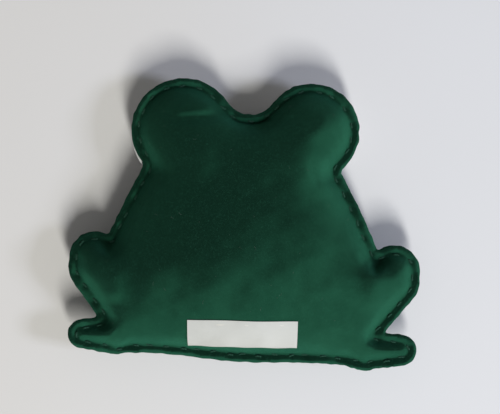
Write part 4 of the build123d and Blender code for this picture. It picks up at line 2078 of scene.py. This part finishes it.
@dataclass(frozen=True)
class PaperFinish(Finish):
    """Plain office paper, a little soiled by handling."""

    colour: Colour
    soil: Colour
    pulp: Colour = (0.45, 0.45, 0.42)

    def surface(self, t: Tree) -> dict[str, object]:
        """Soft stains over the paper's colour, and a fine pulp grain.

        Args:
            t: the material's nodes.

        Returns:
            What the shader's inputs are fed.
        """
        place = t.place()
        stain = t.noise(place, scale=90.0, detail=4.0, rough=0.55)
        pulp = t.noise(place, scale=2600.0, detail=3.0, rough=0.6)
        soiled = t.spread(stain, 0.45, 0.75, to=(0.0, 0.6))
        toned = t.mix(soiled, opaque(self.colour), opaque(self.soil))
        grain = t.spread(pulp, 0.3, 0.7, to=(0.0, 0.05))
        return {
            "Base Color": t.mix(grain, toned, opaque(self.pulp)),
            "Normal": t.bump(pulp, strength=0.25, distance=0.05),
            "Roughness": 0.75,
            "Specular IOR Level": 0.35,
        }


@dataclass(frozen=True)
class GlueFinish(Finish):
    """Dried clear craft glue, cloudy here and there."""

    colour: Colour
    cloudy_share: float = 0.7

    def surface(self, t: Tree) -> dict[str, object]:
        """Small clouds between the glue's colour and a darker one, fairly glossy.

        Args:
            t: the material's nodes.

        Returns:
            What the shader's inputs are fed.
        """
        cloud = t.noise(t.place(), scale=500.0, detail=3.0, rough=0.5)
        darker = tuple(self.cloudy_share * part for part in self.colour)
        return {
            "Base Color": t.mix(cloud, opaque(self.colour), opaque(darker)),
            "Normal": t.bump(cloud, strength=0.2, distance=0.05),
            "Roughness": 0.3,
        }


@dataclass(frozen=True)
class TableFinish(Finish):
    """The pale surface that the frog lies on, with painted light: a warmer, slightly darker cast on the
    left.
    """

    name: str = "pale_table"
    colour: Colour = (0.68, 0.68, 0.68)
    # painted light: the warmer, slightly darker cast of the room's light on the left
    warm_light_cast: Colour = (0.66, 0.64, 0.60)
    cool: Colour = (0.75, 0.76, 0.78)

    def surface(self, t: Tree) -> dict[str, object]:
        """Two greys that change over from left to right, the warmer one on the left a painted light
        cast, with faint clouds and grain.

        Args:
            t: the material's nodes.

        Returns:
            What the shader's inputs are fed.
        """
        place = t.place()
        split = t.feed(t.add("ShaderNodeSeparateXYZ"), {0: place}).outputs
        # painted light: the left is tinted towards the warmer cast
        left = t.spread(split["X"], -0.14, 0.1, to=(1.0, 0.0))
        toned = t.mix(left, opaque(self.colour), opaque(self.warm_light_cast))
        soft = t.noise(place, scale=9.0, detail=2.0, rough=0.5)
        grain = t.noise(place, scale=1400.0, detail=2.0, rough=0.5)
        return {
            "Base Color": t.mix(t.spread(soft, 0.3, 0.7, to=(0.0, 0.08)), toned, opaque(self.cool)),
            "Normal": t.bump(grain, strength=0.05, distance=0.05),
            "Roughness": 0.8,
        }


GREEN_FELT = FeltFinish(
    name="bottle_green_felt",
    dye=(0.0102, 0.0610, 0.0325),
    deep=(0.0058, 0.0390, 0.0205),
    fibre=(0.0230, 0.1080, 0.0640),
    # painted shade on slopes facing away from the lamps
    painted_slope_shade=(0.0015, 0.0088, 0.0043),
)
WHITE_FELT = FeltFinish(
    name="cream_white_felt",
    dye=(0.80, 0.80, 0.77),
    deep=(0.72, 0.72, 0.69),
    fibre=(0.90, 0.90, 0.88),
    # painted shade on slopes facing away from the lamps
    painted_slope_shade=(0.66, 0.66, 0.63),
    cloudiness=0.5,
    sheen=0.2,
    sheen_tint=(0.9, 0.9, 0.88),
)
BLACK_FELT = FeltFinish(
    name="jet_black_felt",
    dye=(0.012, 0.012, 0.012),
    deep=(0.008, 0.008, 0.008),
    fibre=(0.060, 0.060, 0.060),
    # painted shade on slopes facing away from the lamps
    painted_slope_shade=(0.006, 0.006, 0.006),
    cloudiness=0.5,
    sheen=0.2,
    sheen_tint=(0.3, 0.3, 0.3),
)
# the second colour of each thread is the painted shade in its grooves
GREEN_THREAD = ThreadFinish("bottle_green_thread", (0.015, 0.070, 0.042), (0.005, 0.024, 0.014))
BLACK_THREAD = ThreadFinish("jet_black_thread", (0.02, 0.02, 0.02), (0.005, 0.005, 0.005))
WADDING = WaddingFinish("wadding", (0.86, 0.86, 0.83), (0.62, 0.62, 0.60))
LINT = WaddingFinish("lint_fibres", (0.040, 0.105, 0.070), (0.025, 0.070, 0.045))
PAPER = PaperFinish("office_paper", (0.50, 0.505, 0.47), (0.44, 0.445, 0.41))
GLUE = GlueFinish("clear_glue", (0.72, 0.70, 0.62))


# ------------------------------------------------------------------ the room
@dataclass(frozen=True)
class Window:
    """A window that faces the frog, as one area lamp.

    The azimuth goes from +X towards +Y and the elevation up from the table, in degrees. Distance
    and size are in metres, and the power is in watts.
    """

    name: str
    azimuth: float
    elevation: float
    size: Point
    power: float
    colour: Colour
    distance: float = 2.6

    def build(self) -> None:
        """Makes the lamp, at its place and turned towards the frog."""
        data = bpy.data.lights.new(self.name, "AREA")
        data.shape = "RECTANGLE"
        data.size, data.size_y = self.size
        data.energy = self.power
        data.color = self.colour
        lamp = bpy.data.objects.new(self.name, data)
        a, e = math.radians(self.azimuth), math.radians(self.elevation)
        way = np.array([math.cos(a) * math.cos(e), math.sin(a) * math.cos(e), math.sin(e)])
        lamp.location = (way * self.distance).tolist()
        lamp.rotation_euler = (math.pi / 2 - e, 0.0, a + math.pi / 2)
        bpy.context.scene.collection.objects.link(lamp)


@dataclass
class Room:
    """The table, the lamps, the sky and the camera."""

    centre: Point = (1.22, 6.93)
    roll: float = 2.7
    view_width: float = 225.0
    distance: float = 620.0
    seam_z: float = 18.4
    sensor: float = 36.0
    clip: Point = (0.01, 10.0)
    table_half: float = 4000.0
    table_points: int = 9
    table_drop: float = 0.02
    windows: tuple[Window, ...] = (
        Window("main_window", -70.0, 49.0, (0.35, 1.2), 59.0, (1.0, 1.0, 0.98)),
        Window("side_window", -5.0, 38.0, (0.5, 0.6), 24.0, (0.86, 0.92, 1.16)),
    )
    sky_colour: Colour = (0.98, 0.98, 1.0)
    sky_strength: float = 0.2

    def table(self) -> None:
        """A flat table just under the frog: a grid at one height."""
        line = np.linspace(-self.table_half, self.table_half, self.table_points)
        x, y = np.meshgrid(line, line)
        points = np.stack([x, y, np.full_like(x, -self.table_drop)], -1).reshape(-1, 3)
        made = new_mesh("table", points, grid_faces(self.table_points, self.table_points))
        made.data.materials.append(TableFinish().material())

    def sky(self) -> None:
        """An even sky."""
        world = bpy.data.worlds.new("sky")
        world.use_nodes = True
        node = world.node_tree.nodes["Background"]
        node.inputs["Color"].default_value = opaque(self.sky_colour)
        node.inputs["Strength"].default_value = self.sky_strength
        bpy.context.scene.world = world

    def camera(self) -> None:
        """A camera straight above that looks down, turned a little."""
        data = bpy.data.cameras.new("camera")
        data.sensor_width = self.sensor
        data.lens = self.sensor * self.distance / self.view_width
        data.clip_start, data.clip_end = self.clip
        made = bpy.data.objects.new("camera", data)
        made.location = [part * MM for part in (*self.centre, self.distance + self.seam_z)]
        made.rotation_euler = (0.0, 0.0, math.radians(self.roll))
        bpy.context.scene.collection.objects.link(made)
        bpy.context.scene.camera = made

    def build(self) -> None:
        """Everything in the room."""
        self.table()
        for window in self.windows:
            window.build()
        self.sky()
        self.camera()
        bpy.context.scene.view_settings.view_transform = "Standard"


# ------------------------------------------------------------------ the whole frog
def main() -> None:
    """Builds every piece in order and reports each one."""
    logging.basicConfig(level=logging.INFO, format="%(message)s")
    Room().build()
    pattern = Pattern()
    seam_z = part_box("back_panel")[0].z / MM
    pillow = Pillow(pattern)
    back = Skin(Face.BACK, pattern, pillow, seam_z)
    front = Skin(Face.FRONT, pattern, pillow, seam_z)
    Inflation().blow(back)
    Inflation().blow(front)
    seam = Seam(pattern, back, front)
    features = Features(seam, front)
    back.stitch_marks = seam.middles(Face.BACK)[0]
    front.stitch_marks = seam.middles(Face.FRONT)[0]
    front.floor_discs = tuple((disc, features.thick) for disc in (*features.whites, *features.pupils))
    front.pits = np.concatenate([features.mouth_places()[0], features.nostril_places()[0]])
    made = FeltPanels(pattern, back, front).build(GREEN_FELT)
    made.append(Filling(pattern, back, front).build(WADDING))
    made += seam.build(GREEN_THREAD)
    made.append(Knot(front).build(GREEN_THREAD))
    made += features.build(WHITE_FELT, BLACK_FELT, BLACK_THREAD)
    label = Label(back)
    made += [label.build(PAPER), Glue(label).build(GLUE)]
    made.append(Lint(back).build(LINT))
    for piece in made:
        log.info("%s: %d points", piece.name, len(piece.data.vertices))


if __name__ == "__main__":
    main()
